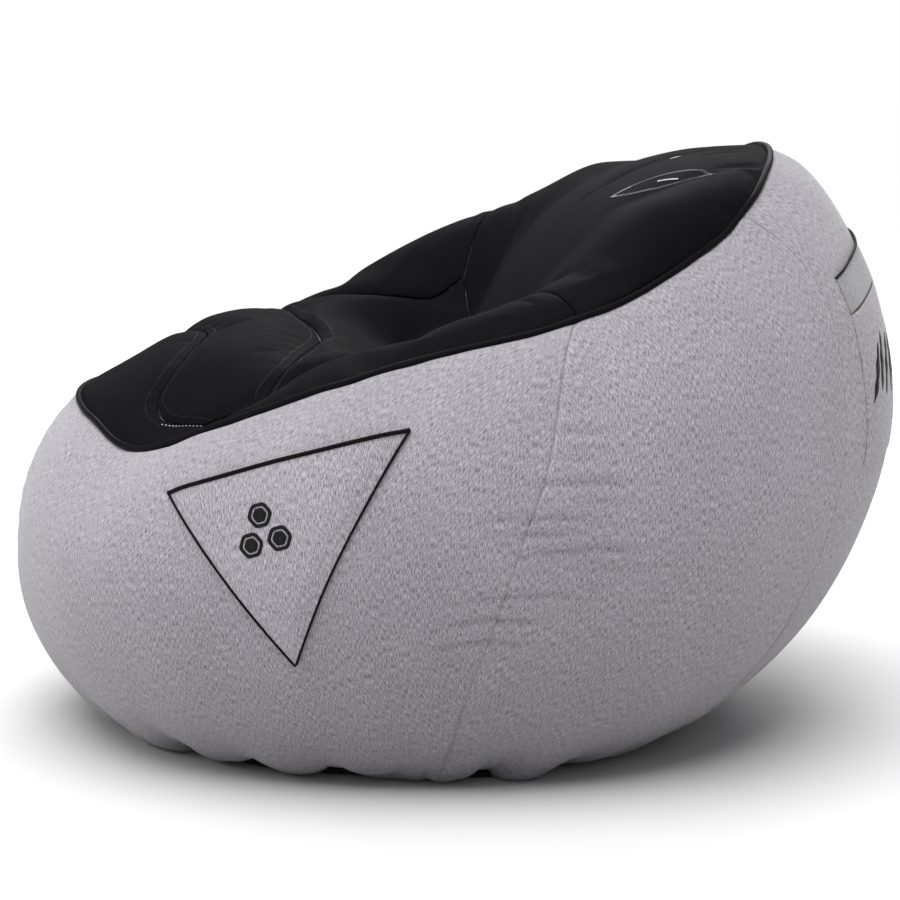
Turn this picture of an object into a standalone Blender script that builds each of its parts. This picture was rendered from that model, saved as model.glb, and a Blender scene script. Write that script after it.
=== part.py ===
"""Bean bag chair: a grey fabric cover with a padded black seat, round a liner full of beads.

Units are metres and +Z is up. The chair faces -Y, X runs across it, and the left side is the
sitter's left, at +X. The origin is on the floor under the middle of the chair.

Every layer follows one master shape. cover() is the outside of the bag, from the base edge up
to the rim, and seat() is the padded seat inside the rim. A fabric piece is a patch of one of
them, thickened inwards, and the layers under it are the same patch, moved further in.
"""

from math import pi, radians

import bmesh
import bpy
import numpy as np

# ---------------------------------------------------------------------------------------------
# Driving dimensions

LENGTH = 0.98            # front to back, at the belly
WIDTH = 0.86             # side to side, at the belly
HEIGHT = 0.648           # floor to the top of the backrest

COVER = 0.0025           # grey cover fabric
PAD_COVER = 0.003        # black seat fabric
WADDING = 0.010          # quilted wadding under the black fabric
WADDING_FROM_RIM = 0.018 # the layers below are clear of the wadding this far from the rim
LINER = 0.0015           # inner bag
BASE = 0.003             # base panel
PIPING_RADIUS = 0.0036

SEAM = 0.0015            # each cover panel's distance from the middle of its seam
PAD_SEAM = 0.0045        # the same for the thicker seat pads
RIM_CLEARANCE = 0.002    # between the piping and the panels that it joins
STEP_IN = 0.0005         # clearance between two flat layers
SLACK = 0.006            # air between the cover and the liner
LAYER_AIR = 0.001        # clearance between two layers of the same shape
PAD_AIR = 0.0018         # between a pad and its wadding

ZIP_LENGTH = 0.40
ZIP_Y = -0.05            # where the zip crosses the base
ZIP_GAP = 0.0016         # between the two rows of teeth
TOOTH_WIDTH = 0.0024
TOOTH_BOTTOM, TOOTH_TOP = 0.0017, 0.0040
TAPE_WIDTH = 0.013
TAPE_THICKNESS = 0.0006
ZIP_SLOT_MARGIN = 0.0014     # between the teeth and the edge of the slot in the base
SLIDER_LENGTH = 0.011
SLIDER_PLATE = 0.0008
SLIDER_NECK = 0.0010
SLIDER_CLEARANCE = 0.0004
STOP_LENGTH = 0.004

SIDE_BINDING_RADIUS = 0.0022     # bound mouth of the side pocket
SIDE_EDGING_RADIUS = 0.0013      # piping on its two other edges
BACK_BINDING_RADIUS = 0.0024
POCKET_FABRIC = 0.0022
POCKET_LIFT = 0.0015             # each pocket stands this far off the cover
MOUTH_TUCK = 0.0006              # clearance between a pocket and its edging
LINER_MOUTH = 0.30               # size of the liner's filling mouth, as a share of its base

# ---------------------------------------------------------------------------------------------
# Shape ratios: x as a share of half the width, y of half the length, z of the height

RIM = [                  # half of the rim, from the front centre to the back centre
    (0.000, -0.853, 0.571), (0.302, -0.812, 0.562), (0.535, -0.704, 0.534), (0.698, -0.510, 0.594),
    (0.767, -0.306, 0.654), (0.802, -0.082, 0.707), (0.802, 0.143, 0.747), (0.756, 0.306, 0.784),
    (0.663, 0.439, 0.830), (0.535, 0.551, 0.873), (0.384, 0.643, 0.929), (0.198, 0.704, 0.975),
    (0.000, 0.724, 0.991),
]
FRONT_CORNER, BACK_CORNER = 2, 10        # the seat's corners, as places in RIM
CENTRE = [               # (y, z) down the middle of the seat, from front to back
    (-0.853, 0.571), (-0.735, 0.617), (-0.612, 0.671), (-0.469, 0.694), (-0.306, 0.676),
    (-0.143, 0.606), (-0.031, 0.576), (0.071, 0.676), (0.184, 0.799), (0.286, 0.887),
    (0.388, 0.951), (0.510, 0.988), (0.633, 1.000), (0.724, 0.991),
]
ARM_RISE = [             # how far the arms stand above the rim, from the seat's front to its back
    (0.00, 0.000), (0.10, 0.000), (0.30, 0.0154), (0.45, 0.0401), (0.60, 0.0463), (0.80, 0.0185),
    (1.00, 0.000),
]
ARM_CREST = 0.80         # how far out the arm's top runs, as a share of half the seat
ARM_FOOT = 0.45          # where the arm starts to rise
HOLLOW = (0.35, 0.90)    # the dip of the seat fades out between these shares of its half width
DOME_POWER = 2.4         # roundness of the backrest across the chair
LEAN = (0.50, 0.72)      # the dip of the seat turns into the backrest between these places
BELLY_POWER, BASE_POWER = 2.15, 2.10     # roundness of the two ovals, where 2 is an ellipse
BELLY_HEIGHT = (0.298, 0.568)            # at the front and at the back
BASE_OVAL = (0.674, 0.714, 0.418)        # half width, front and back reach
SHOULDER = (radians(48), radians(68))    # turn of the upper arc, at the front and at the back
FOOT_POWER = 0.85                        # fullness of the lower arc

SIDE_SEAM = [(0.0, 0.468), (0.6, 0.497), (1.2, 0.535), (2.0, 0.533)]     # (height, place round)
BACK_SEAM = [(0.0, 0.790), (1.0, 0.795), (1.6, 0.806), (2.0, 0.793)]

# Seams of the seat, as (share of the half width, share of the length)
SEAM_1 = [(-0.38, 0.122), (0.0, 0.162), (0.38, 0.122), (0.72, 0.074), (0.87, 0.078), (1.0, 0.108)]
SEAM_2 = [(-0.5, 0.270), (0.0, 0.303), (0.5, 0.270), (0.78, 0.238), (1.0, 0.192)]
ARM_SEAM = [(0.108, 0.86), (0.192, 0.825), (0.25, 0.745), (0.35, 0.67), (0.47, 0.62)]
ARM_FRONT, ARM_MIDDLE, ARM_BACK = 0.108, 0.192, 0.47     # where SEAM_1, SEAM_2 and the back meet it
RIM_FRONT, RIM_BACK, RIM_SEAM = 0.125, 0.55, 0.94        # where seams meet the rim

# Side pocket's corners and the back pocket's edges, as (place round, height)
POCKET_FRONT, POCKET_REAR, POCKET_TIP = (0.265, 1.496), (0.439, 1.559), (0.406, 0.707)
BACK_POCKET_SIDE = 0.825
BACK_POCKET_BOTTOM, BACK_POCKET_BAND, BACK_POCKET_TOP = 0.92, 1.40, 1.54

# Faces along each stretch
MIDDLE_COLUMNS, EDGE_COLUMNS = 8, 2
FRONT_ROWS, MIDDLE_ROWS, REAR_ROWS, BACK_ROWS = 3, 3, 4, 6
FOOT_ROWS, SHOULDER_ROWS = 4, 5

HALF_SIZE = np.array([WIDTH / 2, LENGTH / 2, HEIGHT])

# ---------------------------------------------------------------------------------------------
# Master shape


def smooth(low, high, x):
    share = np.clip((x - low) / (high - low), 0, 1)
    return share * share * (3 - 2 * share)


def profile(points, x):
    """A smooth curve y(x) through the points."""
    px, py = np.array(points, float).T
    slope = np.gradient(py, px)
    i = np.clip(np.searchsorted(px, x, side="right") - 1, 0, len(px) - 2)
    h = px[i + 1] - px[i]
    t = (x - px[i]) / h
    rise = (2 * t**3 - 3 * t**2 + 1) * py[i] + (3 * t**2 - 2 * t**3) * py[i + 1]
    return rise + (t**3 - 2 * t**2 + t) * h * slope[i] + (t**3 - t**2) * h * slope[i + 1]


def rim(place):
    """The rim's points: 0 is the front centre and 1 the back centre, along the +X side."""
    knots = np.array(RIM) * HALF_SIZE
    mirror = np.array([-1.0, 1.0, 1.0])
    knots = np.vstack([knots[1] * mirror, knots, knots[-2] * mirror])
    along = np.clip(place, 0, 1) * (len(RIM) - 1)
    i = np.minimum(along.astype(int), len(RIM) - 2)
    f = (along - i)[:, None]
    a, b, c, d = knots[i], knots[i + 1], knots[i + 2], knots[i + 3]
    cubic = (3 * (b - c) + d - a) * f**3 + (2 * a - 5 * b + 4 * c - d) * f**2
    return 0.5 * (cubic + (c - a) * f + 2 * b)


def oval(place, half, front, back, power):
    c, s = np.cos(place * pi), np.sin(place * pi)
    x = half * np.abs(s) ** (2 / power)
    y = -np.where(c > 0, front, back) * np.sign(c) * np.abs(c) ** (2 / power)
    return np.stack([x, y], 1)


def bag(place, height):
    """The outside of the bag's +X half. Height runs 0 at the base, 1 at the belly, 2 at the rim."""
    turn = (1 - np.cos(place * pi)) / 2
    half, front, back = np.array(BASE_OVAL) * [WIDTH / 2, LENGTH / 2, LENGTH / 2]
    foot = oval(place, half, front, back, BASE_POWER)
    belly = oval(place, WIDTH / 2, LENGTH / 2, LENGTH / 2, BELLY_POWER)
    belly_z = HEIGHT * (BELLY_HEIGHT[0] + (BELLY_HEIGHT[1] - BELLY_HEIGHT[0]) * turn)
    top = rim(place)
    low = np.clip(height, 0, 1) * pi / 2
    shoulder = SHOULDER[0] + (SHOULDER[1] - SHOULDER[0]) * turn
    high = np.clip(height - 1, 0, 1) * shoulder
    out = foot + (belly - foot) * np.sin(low)[:, None]
    out = out + (top[:, :2] - belly) * ((1 - np.cos(high)) / (1 - np.cos(shoulder)))[:, None]
    z = belly_z * (1 - np.cos(low)) ** FOOT_POWER
    z = z + (top[:, 2] - belly_z) * np.sin(high) / np.sin(shoulder)
    return np.column_stack([out, z])


def cover(round_, height):
    """The outside of the bag, all the way round: 0 front, 1 back, 2 front again by the -X side.
    Places are counted along the rim, and lean with the side and back seams below it."""
    mirrored = round_ > 1
    place = np.where(mirrored, 2 - round_, round_)
    side, side_top = profile(SIDE_SEAM, height), SIDE_SEAM[-1][1]
    back, back_top = profile(BACK_SEAM, height), BACK_SEAM[-1][1]
    in_front = place * side / side_top
    between = side + (place - side_top) / (back_top - side_top) * (back - side)
    behind = back + (place - back_top) / (1 - back_top) * (1 - back)
    place = np.where(place < side_top, in_front, np.where(place < back_top, between, behind))
    points = bag(place, height)
    points[:, 0] *= np.where(mirrored, -1, 1)
    return points


def seat(u, v):
    """The padded seat: u runs -1 to 1 across it and v 0 to 1 from its front to its back."""
    last = len(RIM) - 1
    mirror = np.column_stack([np.where(u < 0, -1.0, 1.0), np.ones_like(u), np.ones_like(u)])
    flip = np.array([-1.0, 1.0, 1.0])
    out = np.abs(u)
    front = rim(out * FRONT_CORNER / last) * mirror
    back = rim(1 - out * (last - BACK_CORNER) / last) * mirror
    right = rim((FRONT_CORNER + v * (BACK_CORNER - FRONT_CORNER)) / last)
    left = right * flip
    f = np.array([FRONT_CORNER, BACK_CORNER]) / last
    near, far = rim(f)
    a, w = ((u + 1) / 2)[:, None], v[:, None]
    corners = (1 - w) * ((1 - a) * near * flip + a * near) + w * ((1 - a) * far * flip + a * far)
    points = (1 - w) * front + w * back + (1 - a) * left + a * right - corners

    middle = (1 - v) * rim(0 * u)[:, 1] + v * rim(0 * u + 1)[:, 1]
    middle_z = (1 - v) * rim(0 * u)[:, 2] + v * rim(0 * u + 1)[:, 2]
    side_line = right[:, 1:] - (1 - w) * near[1:] - w * far[1:]
    middle, middle_z = middle + side_line[:, 0], middle_z + side_line[:, 1]
    rise = HEIGHT * profile(CENTRE, middle / (LENGTH / 2)) - middle_z
    hollow = 1 - smooth(*HOLLOW, out)
    dome = np.sqrt(np.clip(1 - out**DOME_POWER, 0, 1))
    to_back = smooth(*LEAN, v)
    rolled = np.sqrt(np.clip(1 - ((out - ARM_CREST) / (1 - ARM_CREST)) ** 2, 0, 1))
    arm = np.where(out < ARM_CREST, smooth(ARM_FOOT, ARM_CREST, out), rolled)
    points[:, 2] += rise * (hollow * (1 - to_back) + dome * to_back)
    points[:, 2] += HEIGHT * profile(ARM_RISE, v) * arm
    return points


# ---------------------------------------------------------------------------------------------
# Patches: each is a function of p and q, both 0 to 1, that gives points on the master shape


def spread(p, join):
    """u for a patch that runs right across the seat: even steps inside the arm seams at +-join,
    then steps that grow finer towards the rim, where the pad turns down."""
    step = np.abs(p - 0.5) * (MIDDLE_COLUMNS + 2 * EDGE_COLUMNS)
    inside = join * step / (MIDDLE_COLUMNS / 2)
    start = np.arcsin(join)
    outside = np.sin(start + (pi / 2 - start) * (step - MIDDLE_COLUMNS / 2) / EDGE_COLUMNS)
    return np.sign(p - 0.5) * np.where(step < MIDDLE_COLUMNS / 2, inside, outside)


def beyond(out, join, inner, outer):
    """v of a seam that runs on from the arm seam at join to the rim."""
    return inner + (outer - inner) * (out - join) / (1 - join)


def front_pad(p, q):
    join = ARM_SEAM[0][1]
    u = spread(p, join)
    out = np.abs(u)
    seam = profile(SEAM_1, np.minimum(out / join, 1))
    seam = np.where(out < join, seam, beyond(out, join, ARM_FRONT, RIM_FRONT))
    return seat(u, seam * q)


def middle_pad(p, q):
    x = 2 * p - 1
    u = x * profile(ARM_SEAM, ARM_FRONT + (ARM_MIDDLE - ARM_FRONT) * q)
    start, end = profile(SEAM_1, np.abs(x)), profile(SEAM_2, np.abs(x))
    return seat(u, start + (end - start) * q)


def rear_pad(p, q):
    x = 2 * p - 1
    u = x * profile(ARM_SEAM, ARM_MIDDLE + (ARM_BACK - ARM_MIDDLE) * q)
    start = profile(SEAM_2, np.abs(x))
    return seat(u, start + (ARM_BACK - start) * q)


def back_pad(p, q):
    join = ARM_SEAM[-1][1]
    u = spread(p, join)
    out = np.abs(u)
    seam = np.where(out < join, ARM_BACK, beyond(out, join, ARM_BACK, RIM_BACK))
    near_seam = (RIM_SEAM - RIM_BACK) / (1 - RIM_BACK)
    share = np.interp(q, [0, 1 - 1 / BACK_ROWS, 1], [0, near_seam, 1])
    return seat(u, seam + (1 - seam) * share)


def arm_pad(side):
    """The band from the arm seam out to the rim; side is 1 for the left arm and -1 for the right."""

    def place(p, q):
        split = MIDDLE_ROWS / (MIDDLE_ROWS + REAR_ROWS)
        inner = np.interp(q, [0, split, 1], [ARM_FRONT, ARM_MIDDLE, ARM_BACK])
        outer = RIM_FRONT + (RIM_BACK - RIM_FRONT) * q
        out_share = p if side > 0 else 1 - p
        join = profile(ARM_SEAM, inner)
        start = np.arcsin(join)
        out = np.sin(start + (pi / 2 - start) * out_share)
        return seat(side * out, beyond(out, join, inner, outer))

    return place


def panel(start, end, low=0.0, high=2.0):
    """A panel of the cover, between two places round the rim."""
    return lambda p, q: cover(start + (end - start) * p, low + (high - low) * q)


EDGE = 1e-4                              # step over which a slope is measured
FURTHEST_CUT = 0.8                       # most of an edge's cells that is cut back
RIM_SAMPLES = 600
LAYING_ROUNDS = 8                        # steps that find where a flat shape meets the cover
POCKET_CELLS = 9
BACK_POCKET_ROWS, BAND_ROWS = 5, 2
MERGE = 1e-5                             # points this close are one
SAME_PLACE = 1e-3                        # two places round the rim this close are one
SHARPEST_SMOOTH = radians(40)            # edges sharper than this are shaded sharp
BEVEL_STEPS = 2                          # gives a tube eight sides
KEY_SCALE = 1e4                          # points are looked up to a tenth of a millimetre
MOST_SHELL_FACTOR = 1.5                  # limits how far a layer's sharp edge moves in


def slopes(place, p, q):
    p0, p1 = np.maximum(p - EDGE, 0), np.minimum(p + EDGE, 1)
    q0, q1 = np.maximum(q - EDGE, 0), np.minimum(q + EDGE, 1)
    along_p = (place(p1, q) - place(p0, q)) / (p1 - p0)[:, None]
    along_q = (place(p, q1) - place(p, q0)) / (q1 - q0)[:, None]
    return along_p, along_q


def moved(place, height):
    """The patch, moved out along its normals by height, or in where height is negative."""

    def raised(p, q):
        normal = np.cross(*slopes(place, p, q))
        return place(p, q) + height * normal / np.linalg.norm(normal, axis=1)[:, None]

    return raised


def lattice(place, across, along):
    """The patch's points, as an array [column, row, xyz]."""
    p, q = np.meshgrid(across, along, indexing="ij")
    return place(p.ravel(), q.ravel()).reshape(len(across), len(along), 3)


def moved_in(points, depth):
    """A lattice, moved in along its normals."""
    normal = np.cross(np.gradient(points, axis=0), np.gradient(points, axis=1))
    return points - depth * normal / np.linalg.norm(normal, axis=2)[..., None]


def cut_back(points, left, right, low, high):
    """A lattice, cut back from its four edges by these distances. Its inner points stay put, so
    that layers which are cut back differently still have their points one above another."""
    points = points.copy()
    for _ in range(2):
        for edge, inner, distance in ((0, 1, left), (-1, -2, right)):
            step = points[inner] - points[edge]
            share = distance / np.linalg.norm(step, axis=1)
            points[edge] += step * np.minimum(share, FURTHEST_CUT)[:, None]
        points = points.transpose(1, 0, 2)
        left, right, low, high = low, high, left, right
    return points


def nearest_on_rim(points):
    """For points of any array shape, the rim's nearest point to each and how far away it is."""
    line = cover(2 * steps(RIM_SAMPLES), np.full(RIM_SAMPLES + 1, 2.0))
    gaps = np.linalg.norm(points[..., None, :] - line, axis=-1)
    return line[gaps.argmin(axis=-1)], gaps.min(axis=-1)[..., None]


def clear_of_rim(points, distance):
    """A lattice, with each point that is too close to the rim's line moved away from it."""
    nearest, gap = nearest_on_rim(points)
    pushed = nearest + (points - nearest) * distance / np.maximum(gap, EDGE)
    return np.where(gap < distance, pushed, points)


# ---------------------------------------------------------------------------------------------
# Making objects


def clear_scene():
    for obj in list(bpy.data.objects):
        bpy.data.objects.remove(obj)


def new_collection(name):
    collection = bpy.data.collections.new(name)
    bpy.context.scene.collection.children.link(collection)
    return collection


def fabric(name, colour, roughness, metallic=0.0):
    material = bpy.data.materials.new(name)
    material.use_nodes = True
    shader = material.node_tree.nodes["Principled BSDF"]
    shader.inputs["Base Color"].default_value = (*colour, 1)
    shader.inputs["Roughness"].default_value = roughness
    shader.inputs["Metallic"].default_value = metallic
    material.diffuse_color = (*colour, 1)
    return material


def add_object(name, data, material, collection):
    obj = bpy.data.objects.new(name, data)
    data.materials.append(material)
    collection.objects.link(obj)
    return obj


def add_mesh(name, bm, material, collection):
    mesh = bpy.data.meshes.new(name)
    bm.to_mesh(mesh)
    bm.free()
    mesh.shade_smooth()
    mesh.set_sharp_from_angle(angle=SHARPEST_SMOOTH)
    return add_object(name, mesh, material, collection)


def thicken(obj, thickness):
    """Gives a sheet its thickness, inwards from the face that shows."""
    solidify = obj.modifiers.new("thickness", "SOLIDIFY")
    solidify.thickness = thickness
    solidify.offset = -1


def steps(count):
    return np.linspace(0, 1, count + 1)


def add_grid(bm, points):
    """Adds a grid that has its corners at a lattice's points."""
    columns, rows = points.shape[:2]
    grid = bmesh.ops.create_grid(bm, x_segments=columns - 1, y_segments=rows - 1, size=1)
    corners = np.array([vert.co[:2] for vert in grid["verts"]]) / 2 + 0.5
    i, j = np.rint(corners * [columns - 1, rows - 1]).astype(int).T
    for vert, point in zip(grid["verts"], points[i, j]):
        vert.co = point
    # Every layer is split along the same diagonals, so that one can't cut through the next.
    faces = list({face for vert in grid["verts"] for face in vert.link_faces})
    bmesh.ops.triangulate(bm, faces=faces, quad_method="FIXED")


def add_sheet(name, points, thickness, material, collection):
    bm = bmesh.new()
    add_grid(bm, points)
    obj = add_mesh(name, bm, material, collection)
    thicken(obj, thickness)
    return obj


def add_tube(name, points, radius, closed, material, collection):
    curve = bpy.data.curves.new(name, "CURVE")
    curve.dimensions = "3D"
    curve.bevel_depth = radius
    curve.bevel_resolution = BEVEL_STEPS
    curve.use_fill_caps = not closed
    spline = curve.splines.new("POLY")
    spline.points.add(len(points) - 1)
    for knot, point in zip(spline.points, points):
        knot.co = (*point, 1)
    spline.use_cyclic_u = closed
    return add_object(name, curve, material, collection)


def add_box(bm, low, high):
    low, high = np.array(low), np.array(high)
    cube = bmesh.ops.create_cube(bm, size=1)
    for vert in cube["verts"]:
        vert.co = (low + high) / 2 + np.array(vert.co) * (high - low)


# ---------------------------------------------------------------------------------------------
# Where the columns and rows run, so that pieces that share a seam share its points


def rim_places():
    """Places round half the rim: one where each row and column of the seat meets it."""
    columns = spread(0.5 + 0.5 * steps(MIDDLE_COLUMNS // 2 + EDGE_COLUMNS), ARM_SEAM[0][1])
    back_columns = spread(0.5 + 0.5 * steps(MIDDLE_COLUMNS // 2 + EDGE_COLUMNS), ARM_SEAM[-1][1])
    front = RIM_FRONT * steps(FRONT_ROWS)
    arm = RIM_FRONT + (RIM_BACK - RIM_FRONT) * steps(MIDDLE_ROWS + REAR_ROWS)
    back = RIM_BACK + (RIM_SEAM - RIM_BACK) * steps(BACK_ROWS - 1)
    rows = np.concatenate([front, arm[1:], back[1:], [1.0]])
    last = len(RIM) - 1
    along_front = columns * FRONT_CORNER / last
    along_side = (FRONT_CORNER + (BACK_CORNER - FRONT_CORNER) * rows) / last
    along_back = 1 - back_columns * (last - BACK_CORNER) / last
    return np.concatenate([along_front, along_side[1:], along_back[::-1][1:]])


HALF_RIM = rim_places()
ROUND = np.concatenate([HALF_RIM, 2 - HALF_RIM[::-1][1:]])
HEIGHTS = np.concatenate([steps(FOOT_ROWS), 1 + steps(SHOULDER_ROWS)[1:]]) / 2
SIDE_TOP, BACK_TOP = SIDE_SEAM[-1][1], BACK_SEAM[-1][1]


def columns_between(start, end):
    """The rim's places from start to end, as shares of the way between them."""
    inside = ROUND[(ROUND > start + SAME_PLACE) & (ROUND < end - SAME_PLACE)]
    return (np.concatenate([[start], inside, [end]]) - start) / (end - start)


ACROSS = steps(MIDDLE_COLUMNS + 2 * EDGE_COLUMNS)

# Each part of the seat: its patch, columns and rows, which of its edges lie on the rim, and how
# many columns or rows its wadding stops short by at its left, right, low and high edge
ARM_ROWS = steps(MIDDLE_ROWS + REAR_ROWS)
SEAT_PATCHES = {
    "front": (front_pad, ACROSS, steps(FRONT_ROWS), "left right low", (2, 2, 1, 0)),
    "middle": (middle_pad, steps(MIDDLE_COLUMNS), steps(MIDDLE_ROWS), "", (0, 0, 0, 0)),
    "rear": (rear_pad, steps(MIDDLE_COLUMNS), steps(REAR_ROWS), "", (0, 0, 0, 0)),
    "backrest": (back_pad, ACROSS, steps(BACK_ROWS), "left right high", (1, 1, 0, 1)),
    "arm_left": (arm_pad(1), steps(EDGE_COLUMNS), ARM_ROWS, "right", (0, 1, 2, 0)),
    "arm_right": (arm_pad(-1), steps(EDGE_COLUMNS), ARM_ROWS, "left", (1, 0, 2, 0)),
}
EDGES = ("left", "right", "low", "high")
PAD_NAMES = {
    "front": "seat_pad_front",
    "middle": "seat_pad_middle",
    "rear": "seat_pad_rear",
    "backrest": "backrest_pad",
    "arm_left": "arm_band_left",
    "arm_right": "arm_band_right",
}
PANELS = {
    "cover_front_left": (0, SIDE_TOP),
    "cover_rear_left": (SIDE_TOP, BACK_TOP),
    "cover_back": (BACK_TOP, 2 - BACK_TOP),
    "cover_rear_right": (2 - BACK_TOP, 2 - SIDE_TOP),
    "cover_front_right": (2 - SIDE_TOP, 2),
}

# ---------------------------------------------------------------------------------------------
# Pieces


def make_cover(parts, material):
    """Five grey panels, sewn to each other down the sides and to the piping round the rim."""
    rim_margin = PIPING_RADIUS + COVER + RIM_CLEARANCE
    for name, (start, end) in PANELS.items():
        points = lattice(panel(start, end), columns_between(start, end), HEIGHTS)
        points = clear_of_rim(cut_back(points, SEAM, SEAM, SEAM, rim_margin), rim_margin)
        add_sheet(name, points, COVER, material, parts)


def make_seat(parts, material):
    rim_margin = PIPING_RADIUS + PAD_COVER + RIM_CLEARANCE
    for key, (patch, across, along, on_rim, _) in SEAT_PATCHES.items():
        margins = [rim_margin if edge in on_rim else PAD_SEAM for edge in EDGES]
        points = clear_of_rim(cut_back(lattice(patch, across, along), *margins), rim_margin)
        add_sheet(PAD_NAMES[key], points, PAD_COVER, material, parts)


def make_wadding(parts, material):
    """Quilted wadding under each pad. It stops short of the rim, where the pads are sewn flat."""
    margin = PAD_SEAM + SEAM
    for key, (patch, across, along, _, short) in SEAT_PATCHES.items():
        points = moved_in(lattice(patch, across, along), PAD_COVER + PAD_AIR)
        left, right, low, high = short
        points = points[left : len(across) - right, low : len(along) - high]
        points = cut_back(points, margin, margin, margin, margin)
        add_sheet("wadding_" + key, points, WADDING, material, parts)


def make_piping(parts, material):
    """One length of covered cord, sewn into the seam between the cover and the seat."""
    points = cover(ROUND[:-1], 0 * ROUND[:-1] + 2)
    add_tube("rim_piping", points, PIPING_RADIUS, True, material, parts)


def outline(share, z):
    """A row of points round the base, at a share of its size."""
    points = cover(ROUND[:-1], 0 * ROUND[:-1]) * share
    points[:, 2] = z
    return points


def make_base(parts, cutters, material):
    """The black base panel, with the slot that the zip is sewn into."""
    bm = bmesh.new()
    ring = bmesh.ops.create_circle(bm, segments=len(ROUND) - 1, radius=1, cap_ends=True)["verts"]
    points = outline(1, BASE)
    inward = points[:, :2] / np.linalg.norm(points[:, :2], axis=1)[:, None]
    points[:, :2] -= inward * SEAM
    for vert, point in zip(ring, points):
        vert.co = point
    bmesh.ops.recalc_face_normals(bm, faces=bm.faces[:])
    for face in bm.faces:
        if face.normal.z < 0:
            face.normal_flip()
    base = add_mesh("base_panel", bm, material, parts)
    thicken(base, BASE)

    slot = bmesh.new()
    half_slot = ZIP_GAP / 2 + TOOTH_WIDTH + ZIP_SLOT_MARGIN
    reach = ZIP_LENGTH / 2 + STOP_LENGTH + 2 * STEP_IN
    add_box(slot, (-reach, ZIP_Y - half_slot, -BASE), (reach, ZIP_Y + half_slot, 2 * BASE))
    cutter = add_mesh("zip_slot_cutter", slot, material, cutters)
    cutter.hide_render = True
    cutter.display_type = "WIRE"
    cut = base.modifiers.new("zip slot", "BOOLEAN")
    cut.object = cutter
    cut.operation = "DIFFERENCE"
    cut.solver = "EXACT"


def add_inner_shape(bm, rim_depth, seat_depth, mouth):
    """The bag's closed shape, moved in: less at the cover, and more under the padded seat.
    Where mouth is above 0, its base has a hole of that share of its size."""
    on_seat = set()
    for patch, across, along, *_ in SEAT_PATCHES.values():
        points = lattice(patch, across, along)
        on_seat |= keys_of(points.reshape(-1, 3))
        add_grid(bm, points)
    bag_points = lattice(panel(0, 2), ROUND / 2, HEIGHTS)
    add_grid(bm, bag_points)
    foot = bag_points[:, 0]
    add_grid(bm, np.stack([foot * [mouth, mouth, 1], foot], axis=1))
    bmesh.ops.remove_doubles(bm, verts=bm.verts[:], dist=MERGE)
    bmesh.ops.recalc_face_normals(bm, faces=bm.faces[:])
    bm.normal_update()
    shifts = []
    for vert in bm.verts:
        _, from_rim = nearest_on_rim(np.array(vert.co))
        in_seat = keys_of([vert.co]) <= on_seat
        under_pad = min(float(from_rim[0]) / WADDING_FROM_RIM, 1) if in_seat else 0
        depth = rim_depth + (seat_depth - rim_depth) * under_pad
        shifts.append(vert.normal * -depth * min(vert.calc_shell_factor(), MOST_SHELL_FACTOR))
    for vert, shift in zip(bm.verts, shifts):
        vert.co += shift


def keys_of(points):
    """The points as whole numbers, to look them up by."""
    return {tuple(int(round(value * KEY_SCALE)) for value in point) for point in points}


def make_liner(parts, material):
    """The inner bag. Its filling mouth, in the base, is closed by a patch that lies in it."""
    rim_depth = COVER + SLACK
    seat_depth = PAD_COVER + PAD_AIR + WADDING + SLACK
    bm = bmesh.new()
    add_inner_shape(bm, rim_depth, seat_depth, LINER_MOUTH)
    liner = add_mesh("inner_liner", bm, material, parts)
    thicken(liner, LINER)

    patch = bmesh.new()
    ring = bmesh.ops.create_circle(patch, segments=len(ROUND) - 1, radius=1, cap_ends=True)["verts"]
    points = outline(LINER_MOUTH, rim_depth + LINER)
    inward = points[:, :2] / np.linalg.norm(points[:, :2], axis=1)[:, None]
    points[:, :2] -= inward * 2 * STEP_IN
    for vert, point in zip(ring, points):
        vert.co = point
    for face in patch.faces:
        face.normal_update()
        if face.normal.z < 0:
            face.normal_flip()
    thicken(add_mesh("liner_mouth_patch", patch, material, parts), LINER)


def make_filling(parts, material):
    """The beads, as one solid of the space that they fill inside the liner."""
    rim_depth = COVER + SLACK + LINER + LAYER_AIR
    seat_depth = PAD_COVER + PAD_AIR + WADDING + SLACK + LINER + LAYER_AIR
    bm = bmesh.new()
    add_inner_shape(bm, rim_depth, seat_depth, 0.0)
    add_mesh("bead_filling", bm, material, parts)


def laid_on_cover(points, near):
    """Where points of a flat shape fall on the cover, laid on it along its normal at near."""
    round_, height = (np.full(len(points), value) for value in near)
    facing = moved(panel(0, 2), 1.0)(*np.array([near]).T / 2) - cover(*np.array([near]).T)
    for _ in range(LAYING_ROUNDS):
        here = cover(round_, height)
        turn = (cover(round_ + EDGE, height) - here) / EDGE
        rise = (cover(round_, height + EDGE) - here) / EDGE
        axes = np.stack([turn, rise, np.broadcast_to(facing, turn.shape)], axis=2)
        step = np.linalg.solve(axes, (points - here)[..., None])[..., 0]
        round_, height = round_ + step[:, 0], height + step[:, 1]
    return round_, height


def raised_place(round_, height, lift):
    return moved(panel(0, 2), lift)(round_ / 2, height / 2)


def shrunk(corners, margin):
    """A triangle's corners, moved in until each edge is this far inside its old line."""
    result = []
    for i, here in enumerate(corners):
        to_a, to_b = corners[i - 1] - here, corners[i - 2] - here
        to_a, to_b = to_a / np.linalg.norm(to_a), to_b / np.linalg.norm(to_b)
        result.append(here + (to_a + to_b) * margin / np.linalg.norm(np.cross(to_a, to_b)))
    return result


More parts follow.
